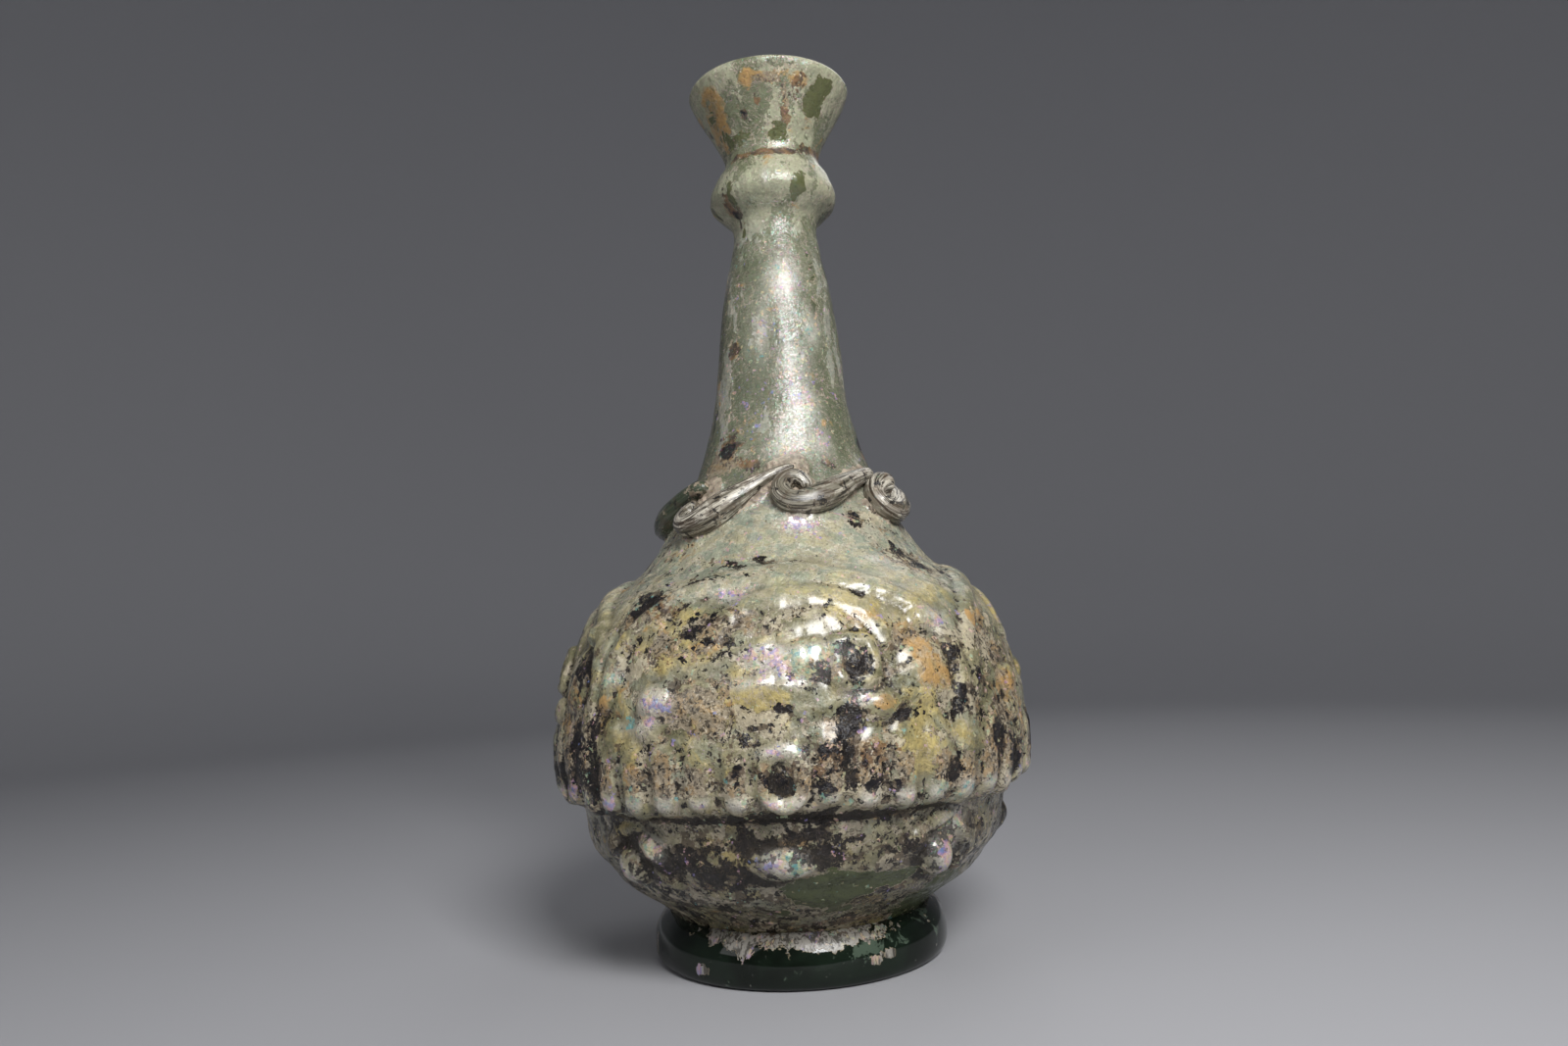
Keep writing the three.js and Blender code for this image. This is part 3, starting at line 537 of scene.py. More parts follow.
# The relief stays a hair inside the part's box.
widest = cad_box[1].y / mm - 0.05
grown_radius = np.minimum(radius_grid + square_grid[..., 0] * raised_grid, widest)
grown_height = height_grid + square_grid[..., 1] * raised_grid
vessel_places = place(az_grid, grown_radius, grown_height)
vessel = ring_mesh("vessel_glass", vessel_places, closed_ends=True)
ring_values(vessel, "hollow", hollow_grid)
for layer, grid in layer_grids.items():
    ring_values(vessel, layer, grid)


# The vessel's finish
# Long burial has left a thin film over the green glass, then cream, ochre, brown and black layers
# and a gritty crust. Each flakes off at crisp edges and shows what lies under it. A pearly painted
# highlight lies on some patches, and painted shade, with dirt, in the hollows and low on the bowl.
def feed(tree, socket, value):
    """Feeds an input with another node's output, or with a plain number or colour."""
    if isinstance(value, bpy.types.NodeSocket):
        tree.links.new(value, socket)
    else:
        socket.default_value = value


def add_node(tree, kind, inputs=None, **settings):
    """Adds one shader node. Its inputs are numbers, colours or other nodes' outputs."""
    made = tree.nodes.new("ShaderNode" + kind)
    for label, value in settings.items():
        setattr(made, label, value)
    for label, value in (inputs or {}).items():
        feed(tree, made.inputs[label], value)
    return made


def calc(tree, operation, *values):
    return add_node(tree, "Math", dict(enumerate(values)), operation=operation).outputs[0]


def times(tree, first, second):
    return calc(tree, "MULTIPLY", first, second)


def weighted(tree, start, *pairs):
    """A start value plus each of some values times its weight."""
    total = start
    for value, weight in pairs:
        total = calc(tree, "MULTIPLY_ADD", value, weight, total)
    return total


def move(tree, operation, *vectors):
    return add_node(tree, "VectorMath", dict(enumerate(vectors)), operation=operation).outputs[0]


def ramp(tree, value, low, high, out_low=0.0, out_high=1.0):
    """A smooth rise between two values, held beyond them."""
    return add_node(tree, "MapRange", {"Value": value, "From Min": low, "From Max": high,
                                       "To Min": out_low, "To Max": out_high},
                    interpolation_type="SMOOTHSTEP").outputs[0]


def noise_at(tree, where, scale, detail, roughness=0.5, **inputs):
    """Soft noise at a place, round about one half."""
    values = {"Vector": where, "Scale": scale, "Detail": detail, "Roughness": roughness, **inputs}
    return add_node(tree, "TexNoise", values).outputs["Fac"]


def tint(tree, share, first, second):
    """Goes from a first to a second colour as the share goes from 0 to 1."""
    made = add_node(tree, "Mix", {0: share}, data_type="RGBA")
    for slot, value in ((6, first), (7, second)):
        feed(tree, made.inputs[slot], (*value, 1) if isinstance(value, tuple) else value)
    return made.outputs[2]


def lay(tree, colour, tone, mask, share):
    """Lays a tone over a colour where the mask is, at a share of its full strength."""
    return tint(tree, times(tree, mask, share), colour, tone)


def new_group(name, inputs, outputs):
    """A node group that reads a place and named numbers, and gives numbers or colours."""
    group = bpy.data.node_groups.new(name, "ShaderNodeTree")
    group.interface.new_socket("Where", in_out="INPUT", socket_type="NodeSocketVector")
    for label, value in inputs.items():
        socket = group.interface.new_socket(label, in_out="INPUT", socket_type="NodeSocketFloat")
        socket.default_value = value
    for label, kind in outputs.items():
        group.interface.new_socket(label, in_out="OUTPUT", socket_type="NodeSocket" + kind)
    entry = group.nodes.new("NodeGroupInput")
    leave = group.nodes.new("NodeGroupOutput")
    return group, entry.outputs, leave.inputs


def shifted(tree, where, turn):
    """The same place moved along by a turn, so that no two layers match."""
    shift = add_node(tree, "CombineXYZ", {0: turn, 1: times(tree, turn, 0.7), 2: times(tree, turn, -1.3)})
    return move(tree, "ADD", where, shift.outputs[0])


def make_flaking():
    """A layer that flakes off in crisp-edged patches, with a fine line where it breaks."""
    group, given, out = new_group(
        "flaking layer",
        {"Patch Size": 8.0, "Cover": 0.5, "Bias": 0.0, "Turn": 0.0, "Flatten": 1.0},
        {"Mask": "Float", "Edge": "Float", "Depth": "Float"})
    squeeze = add_node(group, "CombineXYZ", {0: 1.0, 1: 1.0, 2: given["Flatten"]}).outputs[0]
    where = move(group, "MULTIPLY", shifted(group, given["Where"], given["Turn"]), squeeze)
    per_mm = calc(group, "DIVIDE", 1.0, given["Patch Size"])
    field = noise_at(group, where, per_mm, 6.0, 0.62, Lacunarity=2.1, Distortion=0.5)
    level = weighted(group, field, (given["Bias"], 0.25))
    limit = weighted(group, 0.725, (given["Cover"], -0.45))
    over = calc(group, "SUBTRACT", level, limit)
    group.links.new(ramp(group, over, -0.005, 0.008), out["Mask"])
    group.links.new(ramp(group, calc(group, "ABSOLUTE", over), 0.014, 0.003), out["Edge"])
    group.links.new(over, out["Depth"])
    return group


# Hues of the film's play of colours, at places along it: blue, violet, rose, gold, green and teal
film_hues = [
    (0.36, (0.2, 0.3, 0.62)), (0.42, (0.38, 0.28, 0.58)), (0.46, (0.76, 0.44, 0.46)),
    (0.5, (0.8, 0.6, 0.34)), (0.55, (0.5, 0.6, 0.36)), (0.62, (0.12, 0.4, 0.4)),
]


def make_rainbow():
    """The play of colours on decayed glass: flakes that go from one hue to the next over some mm."""
    group, given, out = new_group("rainbow film", {"Flake Size": 2.0, "Amount": 0.5, "Turn": 0.0},
                                  {"Colour": "Color", "Mask": "Float"})
    where = shifted(group, given["Where"], given["Turn"])
    per_mm = calc(group, "DIVIDE", 1.0, given["Flake Size"])
    broad = noise_at(group, where, 0.09, 2.0)
    fine = noise_at(group, where, per_mm, 4.0, 0.75)
    colours = add_node(group, "ValToRGB", {"Fac": weighted(group, 0.0, (broad, 0.55), (fine, 0.45))})
    band = colours.color_ramp.elements
    for stop, (position, hue) in zip((band[0], band[1]), (film_hues[0], film_hues[-1])):
        stop.position, stop.color = position, (*hue, 1)
    for position, hue in film_hues[1:-1]:
        band.new(position).color = (*hue, 1)
    speck = noise_at(group, where, times(group, per_mm, 0.6), 6.0, 0.7)
    lifted = calc(group, "ADD", speck, weighted(group, -0.15, (given["Amount"], 0.3)))
    group.links.new(colours.outputs["Color"], out["Colour"])
    group.links.new(ramp(group, lifted, 0.58, 0.62), out["Mask"])
    return group


def make_grit():
    """Fine crust: grains and pinholes, as a height and a light and dark mottle."""
    group, given, out = new_group("gritty crust", {"Grain Size": 0.8, "Turn": 0.0},
                                  {"Height": "Float", "Mottle": "Float"})
    where = shifted(group, given["Where"], given["Turn"])
    per_mm = calc(group, "DIVIDE", 1.0, given["Grain Size"])
    grain = noise_at(group, where, per_mm, 3.0, 0.7)
    cells = add_node(group, "TexVoronoi", {"Vector": where, "Scale": times(group, per_mm, 0.5)})
    pinhole = ramp(group, cells.outputs["Distance"], 0.06, 0.22)
    broad = noise_at(group, where, times(group, per_mm, 0.4), 4.0)
    group.links.new(times(group, grain, pinhole), out["Height"])
    group.links.new(ramp(group, broad, 0.38, 0.62), out["Mottle"])
    return group


groups = {"flaking": make_flaking(), "rainbow": make_rainbow(), "grit": make_grit()}


def use_group(tree, group, where, **inputs):
    """Uses one of the groups at a place. A low line in an input's name stands for a space."""
    made = tree.nodes.new("ShaderNodeGroup")
    made.node_tree = groups[group]
    for label, value in {"Where": where, **inputs}.items():
        feed(tree, made.inputs[label.replace("_", " ")], value)
    return made.outputs


def crumbled(tree, where, crumb_size, share):
    """The same place drawn towards the middle of its crumb, so that edges break along crumbs."""
    cells = add_node(tree, "TexVoronoi", {"Vector": where, "Scale": 1 / crumb_size})
    made = add_node(tree, "Mix", {0: share, 4: where, 5: cells.outputs["Position"]}, data_type="VECTOR")
    return made.outputs[1]


def stored(tree, label):
    """A value that the mesh carries."""
    return add_node(tree, "Attribute", attribute_name=label).outputs["Fac"]


def new_glass(name, transmission):
    """A glass material, the place on the piece in millimetres and its crumbled place."""
    material = bpy.data.materials.new(name)
    material.use_nodes = True
    tree = material.node_tree
    shader = tree.nodes["Principled BSDF"]
    shader.inputs["Transmission Weight"].default_value = transmission
    shader.inputs["IOR"].default_value = 1.52
    where = move(tree, "MULTIPLY", add_node(tree, "TexCoord").outputs["Object"], (1 / mm,) * 3)
    return material, tree, shader, where, crumbled(tree, where, crumb_size=0.9, share=0.7)


def set_surface(tree, shader, colour, rough, height, strength, distance):
    """Joins colour, roughness and a bump of a height, in millimetres, to the shader."""
    tree.links.new(colour, shader.inputs["Base Color"])
    tree.links.new(rough, shader.inputs["Roughness"])
    bump = add_node(tree, "Bump", {"Height": height, "Strength": strength, "Distance": distance * mm})
    tree.links.new(bump.outputs["Normal"], shader.inputs["Normal"])


# Levels between which one part of the finish gives way to the next, in millimetres
finish_levels = {"low": (54, 40), "shoulder": (97, 108), "silver": (98, 120), "neck": (124, 142),
                 "mouth": (212, 226)}


def read_vessel(tree, where, crumbs):
    """What the layers go by: the place, the part of the flask and the marks that the mesh carries."""
    height = add_node(tree, "SeparateXYZ", {0: where}).outputs["Z"]
    here = SimpleNamespace(where=where, crumbs=crumbs)
    for part, (start, end) in finish_levels.items():
        setattr(here, part, ramp(tree, height, start, end))
    for mark in (*layer_patches, "packed"):
        setattr(here, mark, stored(tree, mark))
    here.body = calc(tree, "SUBTRACT", 1.0, here.neck)
    here.crevice = calc(tree, "MAXIMUM", stored(tree, "hollow"), 0.0)
    here.cleaner = weighted(tree, 0.0, (here.neck, -0.55), (here.green, -1.2))
    here.ripple = noise_at(tree, where, 0.3, 3.0, Distortion=0.3)
    here.grit = use_group(tree, "grit", where, Grain_Size=0.8, Turn=170.0)
    return here


film_green = (0.21, 0.195, 0.10)
film_pale = (0.50, 0.445, 0.275)
film_teal = (0.33, 0.35, 0.25)
film_yellow = (0.58, 0.46, 0.17)
film_silver = (0.36, 0.40, 0.33)


def film_on_glass(tree, here, layers):
    """The glass, seen through a thin film that is pale, teal or yellow in soft patches."""
    layers.film = use_group(tree, "flaking", here.where, Patch_Size=20.0, Turn=3.0, Flatten=1.2)
    layers.teal = use_group(tree, "flaking", here.where, Patch_Size=14.0, Cover=0.36, Turn=12.0)
    yellow = use_group(tree, "flaking", here.where, Patch_Size=16.0, Cover=0.34, Turn=21.0,
                       Bias=times(tree, here.green, 0.7))
    colour = tint(tree, ramp(tree, layers.film["Depth"], -0.1, 0.08), film_green, film_pale)
    colour = tint(tree, ramp(tree, layers.teal["Depth"], -0.06, 0.06, 0.0, 0.75), colour, film_teal)
    colour = lay(tree, colour, film_yellow, ramp(tree, yellow["Depth"], -0.06, 0.08),
                 weighted(tree, 0.9, (here.neck, -0.7)))
    colour = tint(tree, ramp(tree, here.ripple, 0.56, 0.36, 0.0, 0.55), colour, film_green)
    return lay(tree, colour, film_silver, here.silver, 0.45)


film_white = (0.47, 0.48, 0.43)
mouth_film = (0.50, 0.51, 0.32)
thin_olive = (0.17, 0.185, 0.105)
worn_olive = (0.10, 0.12, 0.055)
scratch_beige = (0.62, 0.52, 0.42)


def flaked_neck(tree, here, layers, colour):
    """On the neck a whitish film has flaked off in places and the olive glass shows."""
    whitish = weighted(tree, 0.0, (here.neck, 0.45), (here.mouth, 0.1))
    whitish_tone = tint(tree, here.mouth, film_white, mouth_film)
    colour = lay(tree, colour, whitish_tone, whitish,
                 ramp(tree, layers.teal["Depth"], -0.08, 0.08, 0.6, 1.2))
    kept = weighted(tree, 0.0, (here.mouth, -0.5), (here.shine, -0.15), (here.whitened, -0.6))
    layers.thin = use_group(tree, "flaking", here.crumbs, Patch_Size=11.0, Cover=0.74, Turn=34.0,
                            Flatten=0.45, Bias=kept)
    thin_tone = tint(tree, ramp(tree, layers.thin["Depth"], 0.0, 0.14), thin_olive, worn_olive)
    colour = lay(tree, colour, thin_tone, layers.thin["Mask"], times(tree, here.neck, 0.85))
    layers.plates = use_group(tree, "flaking", here.where, Patch_Size=10.0, Turn=45.0)
    scratch = times(tree, layers.plates["Edge"], ramp(tree, layers.film["Depth"], -0.06, 0.02))
    return lay(tree, colour, scratch_beige, scratch, 0.7)


layer_cream = (0.60, 0.52, 0.37)
layer_brown = (0.095, 0.062, 0.038)
contour_beige = (0.70, 0.57, 0.46)
contours_per_depth = 17.0


def cream_layer(tree, here, layers, colour):
    """A cream layer with brown edges, and fine contour lines where thinner layers end."""
    layers.cream = use_group(tree, "flaking", here.crumbs, Patch_Size=11.0, Cover=0.42, Turn=40.0,
                             Flatten=1.3, Bias=here.cleaner)
    colour = lay(tree, colour, layer_cream, layers.cream["Mask"], 0.75)
    strata = use_group(tree, "flaking", here.where, Patch_Size=18.0, Turn=64.0, Flatten=1.6)
    level = calc(tree, "FRACT", times(tree, strata["Depth"], contours_per_depth))
    line = ramp(tree, calc(tree, "ABSOLUTE", calc(tree, "SUBTRACT", level, 0.5)), 0.09, 0.03)
    layers.contour = times(tree, line, weighted(tree, 0.25, (here.shoulder, 0.4), (here.crust, 0.6)))
    lines = calc(tree, "MAXIMUM", times(tree, layers.cream["Edge"], here.body), layers.contour)
    line_tone = tint(tree, here.shoulder, layer_brown, contour_beige)
    return lay(tree, colour, line_tone, lines, 0.75)


scale_teal = (0.30, 0.39, 0.31)
scale_straw = (0.56, 0.51, 0.33)
scale_edge = (0.66, 0.58, 0.46)


def shoulder_scales(tree, here, layers, colour):
    """Small scales with pale edges on the shoulder, some teal and some straw yellow."""
    scales = use_group(tree, "flaking", here.where, Patch_Size=6.0, Turn=145.0, Flatten=2.0)
    scale_tone = tint(tree, ramp(tree, scales["Depth"], -0.05, 0.05), scale_teal, scale_straw)
    by_shoulder = times(tree, here.shoulder, here.body)
    colour = lay(tree, colour, scale_tone, by_shoulder, 0.35)
    return lay(tree, colour, scale_edge, times(tree, scales["Edge"], by_shoulder), 0.8)


layer_ochre = (0.54, 0.32, 0.11)
crust_dark = (0.065, 0.045, 0.030)
crust_beige = (0.35, 0.285, 0.195)
crust_ochre = (0.42, 0.27, 0.12)
crust_pale = (0.66, 0.57, 0.42)


def ochre_and_grains(tree, here, layers, colour):
    """Ochre stains, and a crust of brown, beige and pale grains."""
    rust = use_group(tree, "flaking", here.where, Patch_Size=9.0, Cover=0.16, Turn=75.0,
                     Bias=weighted(tree, 0.0, (here.green, -0.4), (here.ochre, 1.1)))
    colour = lay(tree, colour, layer_ochre, ramp(tree, rust["Depth"], -0.03, 0.05),
                 ramp(tree, here.ripple, 0.3, 0.6, 0.3, 0.9))
    crusty = weighted(tree, here.cleaner, (here.crevice, 0.5), (here.crust, 1.1), (here.low, -0.5))
    layers.grains = use_group(tree, "flaking", here.crumbs, Patch_Size=7.0, Cover=0.2, Turn=57.0,
                              Flatten=1.2, Bias=crusty)
    beige = use_group(tree, "flaking", here.where, Patch_Size=1.4, Cover=0.6, Turn=61.0)
    pale = use_group(tree, "flaking", here.where, Patch_Size=0.9, Cover=0.3, Turn=83.0)
    grain_tone = tint(tree, ramp(tree, here.ripple, 0.42, 0.62, 0.0, 0.8), crust_beige, crust_ochre)
    grain_tone = tint(tree, ramp(tree, beige["Depth"], -0.04, 0.03), crust_dark, grain_tone)
    grain_tone = tint(tree, ramp(tree, pale["Depth"], -0.02, 0.04, 0.0, 0.8), grain_tone, crust_pale)
    return lay(tree, colour, grain_tone, layers.grains["Mask"], 0.88)


soil_brown = (0.30, 0.23, 0.16)
soil_pale = (0.60, 0.49, 0.37)
stain_brown = (0.05, 0.028, 0.02)
stain_rusty = (0.24, 0.13, 0.055)


def soil_and_stains(tree, here, layers, colour):
    """Sandy soil packed round the scrolls, and brown stains."""
    layers.soil = use_group(tree, "flaking", here.crumbs, Patch_Size=4.0, Cover=0.0, Turn=101.0,
                            Bias=times(tree, here.packed, 3.0))
    soil_tone = tint(tree, here.grit["Mottle"], soil_brown, soil_pale)
    colour = lay(tree, colour, soil_tone, layers.soil["Mask"], 0.92)
    stained = use_group(tree, "flaking", here.crumbs, Patch_Size=3.5, Cover=0.0, Turn=157.0,
                        Bias=times(tree, here.brown, 1.8))
    stained_tone = tint(tree, ramp(tree, here.ripple, 0.4, 0.6), stain_brown, stain_rusty)
    return lay(tree, colour, stained_tone, stained["Mask"], 0.85)


layer_black = (0.004, 0.003, 0.004)
black_dust = (0.012, 0.009, 0.012)
dirt_and_shade_brown = (0.045, 0.036, 0.025)


def dark_flakes(tree, here, layers, colour):
    """Brown and black remains in crisp flakes and specks, pale flecks, and dirt with painted shade in
    crevices and low down.
    """
    dirt = weighted(tree, 0.0, (here.green, -0.6), (here.neck, -0.6), (here.crevice, 0.4))
    layers.brown = use_group(tree, "flaking", here.crumbs, Patch_Size=4.5, Cover=0.2, Turn=91.0,
                             Flatten=1.2, Bias=weighted(tree, dirt, (here.black, 0.9), (here.low, 0.3)))
    colour = lay(tree, colour, layer_brown, layers.brown["Mask"], 0.8)
    dark = use_group(tree, "flaking", here.crumbs, Patch_Size=4.0, Cover=0.16, Turn=113.0,
                     Bias=weighted(tree, dirt, (here.black, 1.15), (here.low, 0.4)))
    specks = use_group(tree, "flaking", here.where, Patch_Size=1.6, Cover=0.22, Turn=127.0,
                       Bias=weighted(tree, dirt, (here.crust, 0.12), (here.black, 0.3)))
    layers.black = calc(tree, "MAXIMUM", dark["Mask"], specks["Mask"])
    veins = use_group(tree, "flaking", here.where, Patch_Size=2.6, Cover=0.42, Turn=120.0)
    black_tone = tint(tree, here.grit["Mottle"], layer_black, black_dust)
    colour = lay(tree, colour, black_tone, layers.black, weighted(tree, 1.0, (veins["Edge"], -0.6)))
    flecks = use_group(tree, "flaking", here.where, Patch_Size=1.3, Cover=0.02, Turn=139.0,
                       Bias=weighted(tree, 0.0, (here.neck, -0.6), (here.crust, 0.3)))
    colour = lay(tree, colour, crust_pale, flecks["Mask"], 0.8)
    # Painted shade, partly dirt: the colour turns dark brown in the hollows of the relief and low on the
    # bowl.
    return tint(tree, weighted(tree, 0.0, (here.low, 0.34), (here.crevice, 0.55)), colour, dirt_and_shade_brown)


bare_olive = (0.085, 0.10, 0.043)
mouth_olive = (0.135, 0.145, 0.06)
pearl_highlight_white = (0.82, 0.79, 0.70)


def bare_and_rainbow(tree, here, layers, colour):
    """Bare glass where all layers are gone, flakes in rainbow over the rest, and a pearly painted
    highlight with more rainbow flakes.
    """
    layers.gone = use_group(tree, "flaking", here.where, Patch_Size=7.0, Cover=0.0, Turn=131.0,
                            Bias=times(tree, here.bare, 2.0))
    colour = tint(tree, layers.gone["Mask"], colour, tint(tree, here.mouth, bare_olive, mouth_olive))
    colour = lay(tree, colour, layer_cream, layers.gone["Edge"], 0.8)
    amount = weighted(tree, 0.45, (here.low, -0.05), (here.mouth, -0.6),
                      (here.shine, weighted(tree, 0.5, (here.neck, -0.15))))
    layers.play = use_group(tree, "rainbow", here.crumbs, Turn=150.0, Amount=amount,
                            Flake_Size=weighted(tree, 1.7, (here.neck, -0.8)))
    # Painted highlight: a pearly white over the highlight patches, weaker on black flakes.
    colour = lay(tree, colour, pearl_highlight_white, here.shine, weighted(tree, 0.65, (layers.black, -0.5)))
    return lay(tree, colour, layers.play["Colour"], layers.play["Mask"], 0.75)


def gritty_mottle(tree, here, layers, colour):
    """A mottle of fine grit over all but the bare glass."""
    mottle = times(tree, weighted(tree, 0.55, (here.grit["Height"], 1.0)),
                   weighted(tree, 0.9, (here.grit["Mottle"], 0.16)))
    share = weighted(tree, 0.95, (layers.gone["Mask"], -0.9))
    return move(tree, "MULTIPLY", colour, tint(tree, share, (1, 1, 1), mottle))


def vessel_roughness(tree, here, layers):
    """Glossy glass and film, with duller crust and soil."""
    rough = weighted(tree, 0.19, (here.neck, 0.06), (layers.grains["Mask"], 0.08),
                     (layers.soil["Mask"], 0.4), (layers.gone["Mask"], -0.06), (here.shine, -0.05))
    return calc(tree, "MAXIMUM", rough, 0.08)


def vessel_thickness(tree, here, layers):
    """How thick the layers lie on the glass, with the ripple of the film and the grain of the crust."""
    laid = weighted(
        tree, 0.0, (layers.grains["Mask"], 0.5), (layers.cream["Mask"], 0.45), (layers.black, -0.45),
        (layers.gone["Mask"], -0.9), (layers.thin["Mask"], times(tree, here.neck, -0.5)),
        (layers.plates["Mask"], 0.35), (layers.play["Mask"], 0.25), (layers.contour, -0.4),
        (here.ripple, weighted(tree, 2.4, (here.neck, -1.0))))
    grain = weighted(tree, 0.8, (layers.gone["Mask"], -0.6), (here.neck, -0.25), (here.shine, 0.5),
                     (layers.soil["Mask"], 1.4))
    return weighted(tree, laid, (here.grit["Height"], grain))


film_nanometres = (250.0, 850.0)
vessel_gloss = {"Specular IOR Level": 0.38, "Thin Film IOR": 1.7, "Coat Roughness": 0.27,
                "Coat IOR": 1.9}


def set_vessel_gloss(tree, here, layers, shader):
    """A clear sheen, dulled by dark flakes, soil and bare glass, and a film of changing depth."""
    dull = calc(tree, "MAXIMUM", times(tree, layers.brown["Mask"], 0.6), layers.black)
    dull = calc(tree, "MAXIMUM", dull, layers.soil["Mask"])
    dull = calc(tree, "MAXIMUM", dull, times(tree, times(tree, layers.gone["Mask"], here.body), 0.8))
    coat = weighted(tree, 0.45, (here.neck, -0.36), (here.shine, weighted(tree, 0.65, (here.neck, -0.5))))
    coat = times(tree, calc(tree, "MINIMUM", coat, 1.0), calc(tree, "SUBTRACT", 1.0, dull))
    tree.links.new(coat, shader.inputs["Coat Weight"])
    depth = ramp(tree, noise_at(tree, here.where, 0.35, 5.0, 0.7), 0.3, 0.7, *film_nanometres)
    filmed = ramp(tree, calc(tree, "ADD", here.neck, here.shine), 0.15, 0.3)
    tree.links.new(times(tree, depth, filmed), shader.inputs["Thin Film Thickness"])
    for label, value in vessel_gloss.items():
        shader.inputs[label].default_value = value


vessel_layers = (flaked_neck, cream_layer, shoulder_scales, ochre_and_grains, soil_and_stains,
                 dark_flakes, bare_and_rainbow, gritty_mottle)


def make_weathered_glass():
    material, tree, shader, where, crumbs = new_glass("weathered glass", transmission=0.15)
    here, layers = read_vessel(tree, where, crumbs), SimpleNamespace()
    colour = film_on_glass(tree, here, layers)
    for lay_on in vessel_layers:
        colour = lay_on(tree, here, layers, colour)
    rough, thickness = vessel_roughness(tree, here, layers), vessel_thickness(tree, here, layers)
    set_surface(tree, shader, colour, rough, thickness, strength=0.8, distance=0.45)
    set_vessel_gloss(tree, here, layers, shader)
    return material


vessel.data.materials.append(make_weathered_glass())
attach(vessel, "root")
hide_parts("vessel")

# The foot ring
# A thick coil of very dark green glass, wound on hot round the edge of the base and smoothed
# with a tool. It is glossy, with bubbles, and a shining crust hangs over it from the crease.
foot_line = smooth_line([
    (30.2, 10.6), (30.1, 6), (31.4, 2.2), (34.3, 0.3), (36, 0), (39.5, 0), (41.4, 0.1), (42.9, 1),
    (43.8, 3.4), (43.9, 6.4), (43.3, 9.4), (41.9, 12), (40.2, 13.7), (38.9, 14.3), (38.3, 13.4),
    (38, 11.4), (36, 10.7), (33, 10.7),
], 4)[:-1]
foot_line[:, 1] = np.maximum(foot_line[:, 1], 0)
foot_az, foot_radius, foot_height, foot_row = turned(foot_line, columns=288)
foot_places = place(foot_az, foot_radius, foot_height).reshape(-1, 3)
foot_swell = grain_at(foot_places, size=22, octaves=2, offset=5).reshape(foot_radius.shape)
foot_show = smoothstep(1.5, 5, foot_height) * smoothstep(38.5, 41, foot_radius)
foot_move = (0.3 * (foot_swell - 0.6) * foot_show)[..., None] * outward(foot_line)[foot_row]
foot_places = place(foot_az, foot_radius + foot_move[..., 0], foot_height + foot_move[..., 1])
foot = ring_mesh("foot_glass", foot_places, closed_ends=False)

# Patches of crust and film on the foot, given as on the vessel
foot_patches = {
    "crusted": [
        (6, 13, 30, 2.6, 1.1), (-30, 13.4, 9, 1.8, 0.8), (-21, 10, 3, 2.6, 0.8), (27, 6, 2.6, 2, 1.0),
        (33, 7.4, 2.4, 1.6, 0.7), (-39, 4.5, 3, 1.6, 1.0), (120, 13, 40, 5, 1.0),
        (200, 12, 30, 5, 0.9), (165, 6, 7, 4, 0.9), (250, 14, 30, 5, 1.0), (285, 5, 5, 3, 0.9),
    ],
    "filmed": [(58, 11, 14, 6, 0.6), (22, 10, 7, 3, 0.9), (230, 9, 20, 4, 0.7)],
}
foot_outside = foot_radius > 37
for layer, patches in foot_patches.items():
    strengths = np.clip(patches_at(foot_az, foot_height, patches), 0, 1.3)
    give_values(foot, layer, strengths * foot_outside)


deep_green = (0.006, 0.010, 0.006)
bottle_green = (0.011, 0.02, 0.012)
foot_film = (0.13, 0.18, 0.13)
hang_dark = (0.10, 0.09, 0.075)
hang_silver = (0.40, 0.375, 0.33)
hang_edge = (0.50, 0.41, 0.27)
bubble_grey = (0.3, 0.3, 0.25)


def hanging_crust(tree, where, crumbs):
    """A thin shining crust in streaks, with brown places and rainbow flakes."""
    streaks = use_group(tree, "flaking", where, Patch_Size=1.2, Turn=26.0, Flatten=0.14)
    tone = tint(tree, ramp(tree, streaks["Depth"], -0.06, 0.06), hang_dark, hang_silver)
    brown = use_group(tree, "flaking", crumbs, Patch_Size=3.4, Cover=0.3, Turn=33.0, Flatten=0.6)
    tone = lay(tree, tone, layer_brown, brown["Mask"], 0.8)
    upright = move(tree, "MULTIPLY", where, (1.0, 1.0, 0.2))
    play = use_group(tree, "rainbow", upright, Flake_Size=1.2, Turn=71.0, Amount=0.6)
    return lay(tree, tone, play["Colour"], play["Mask"], 0.6)


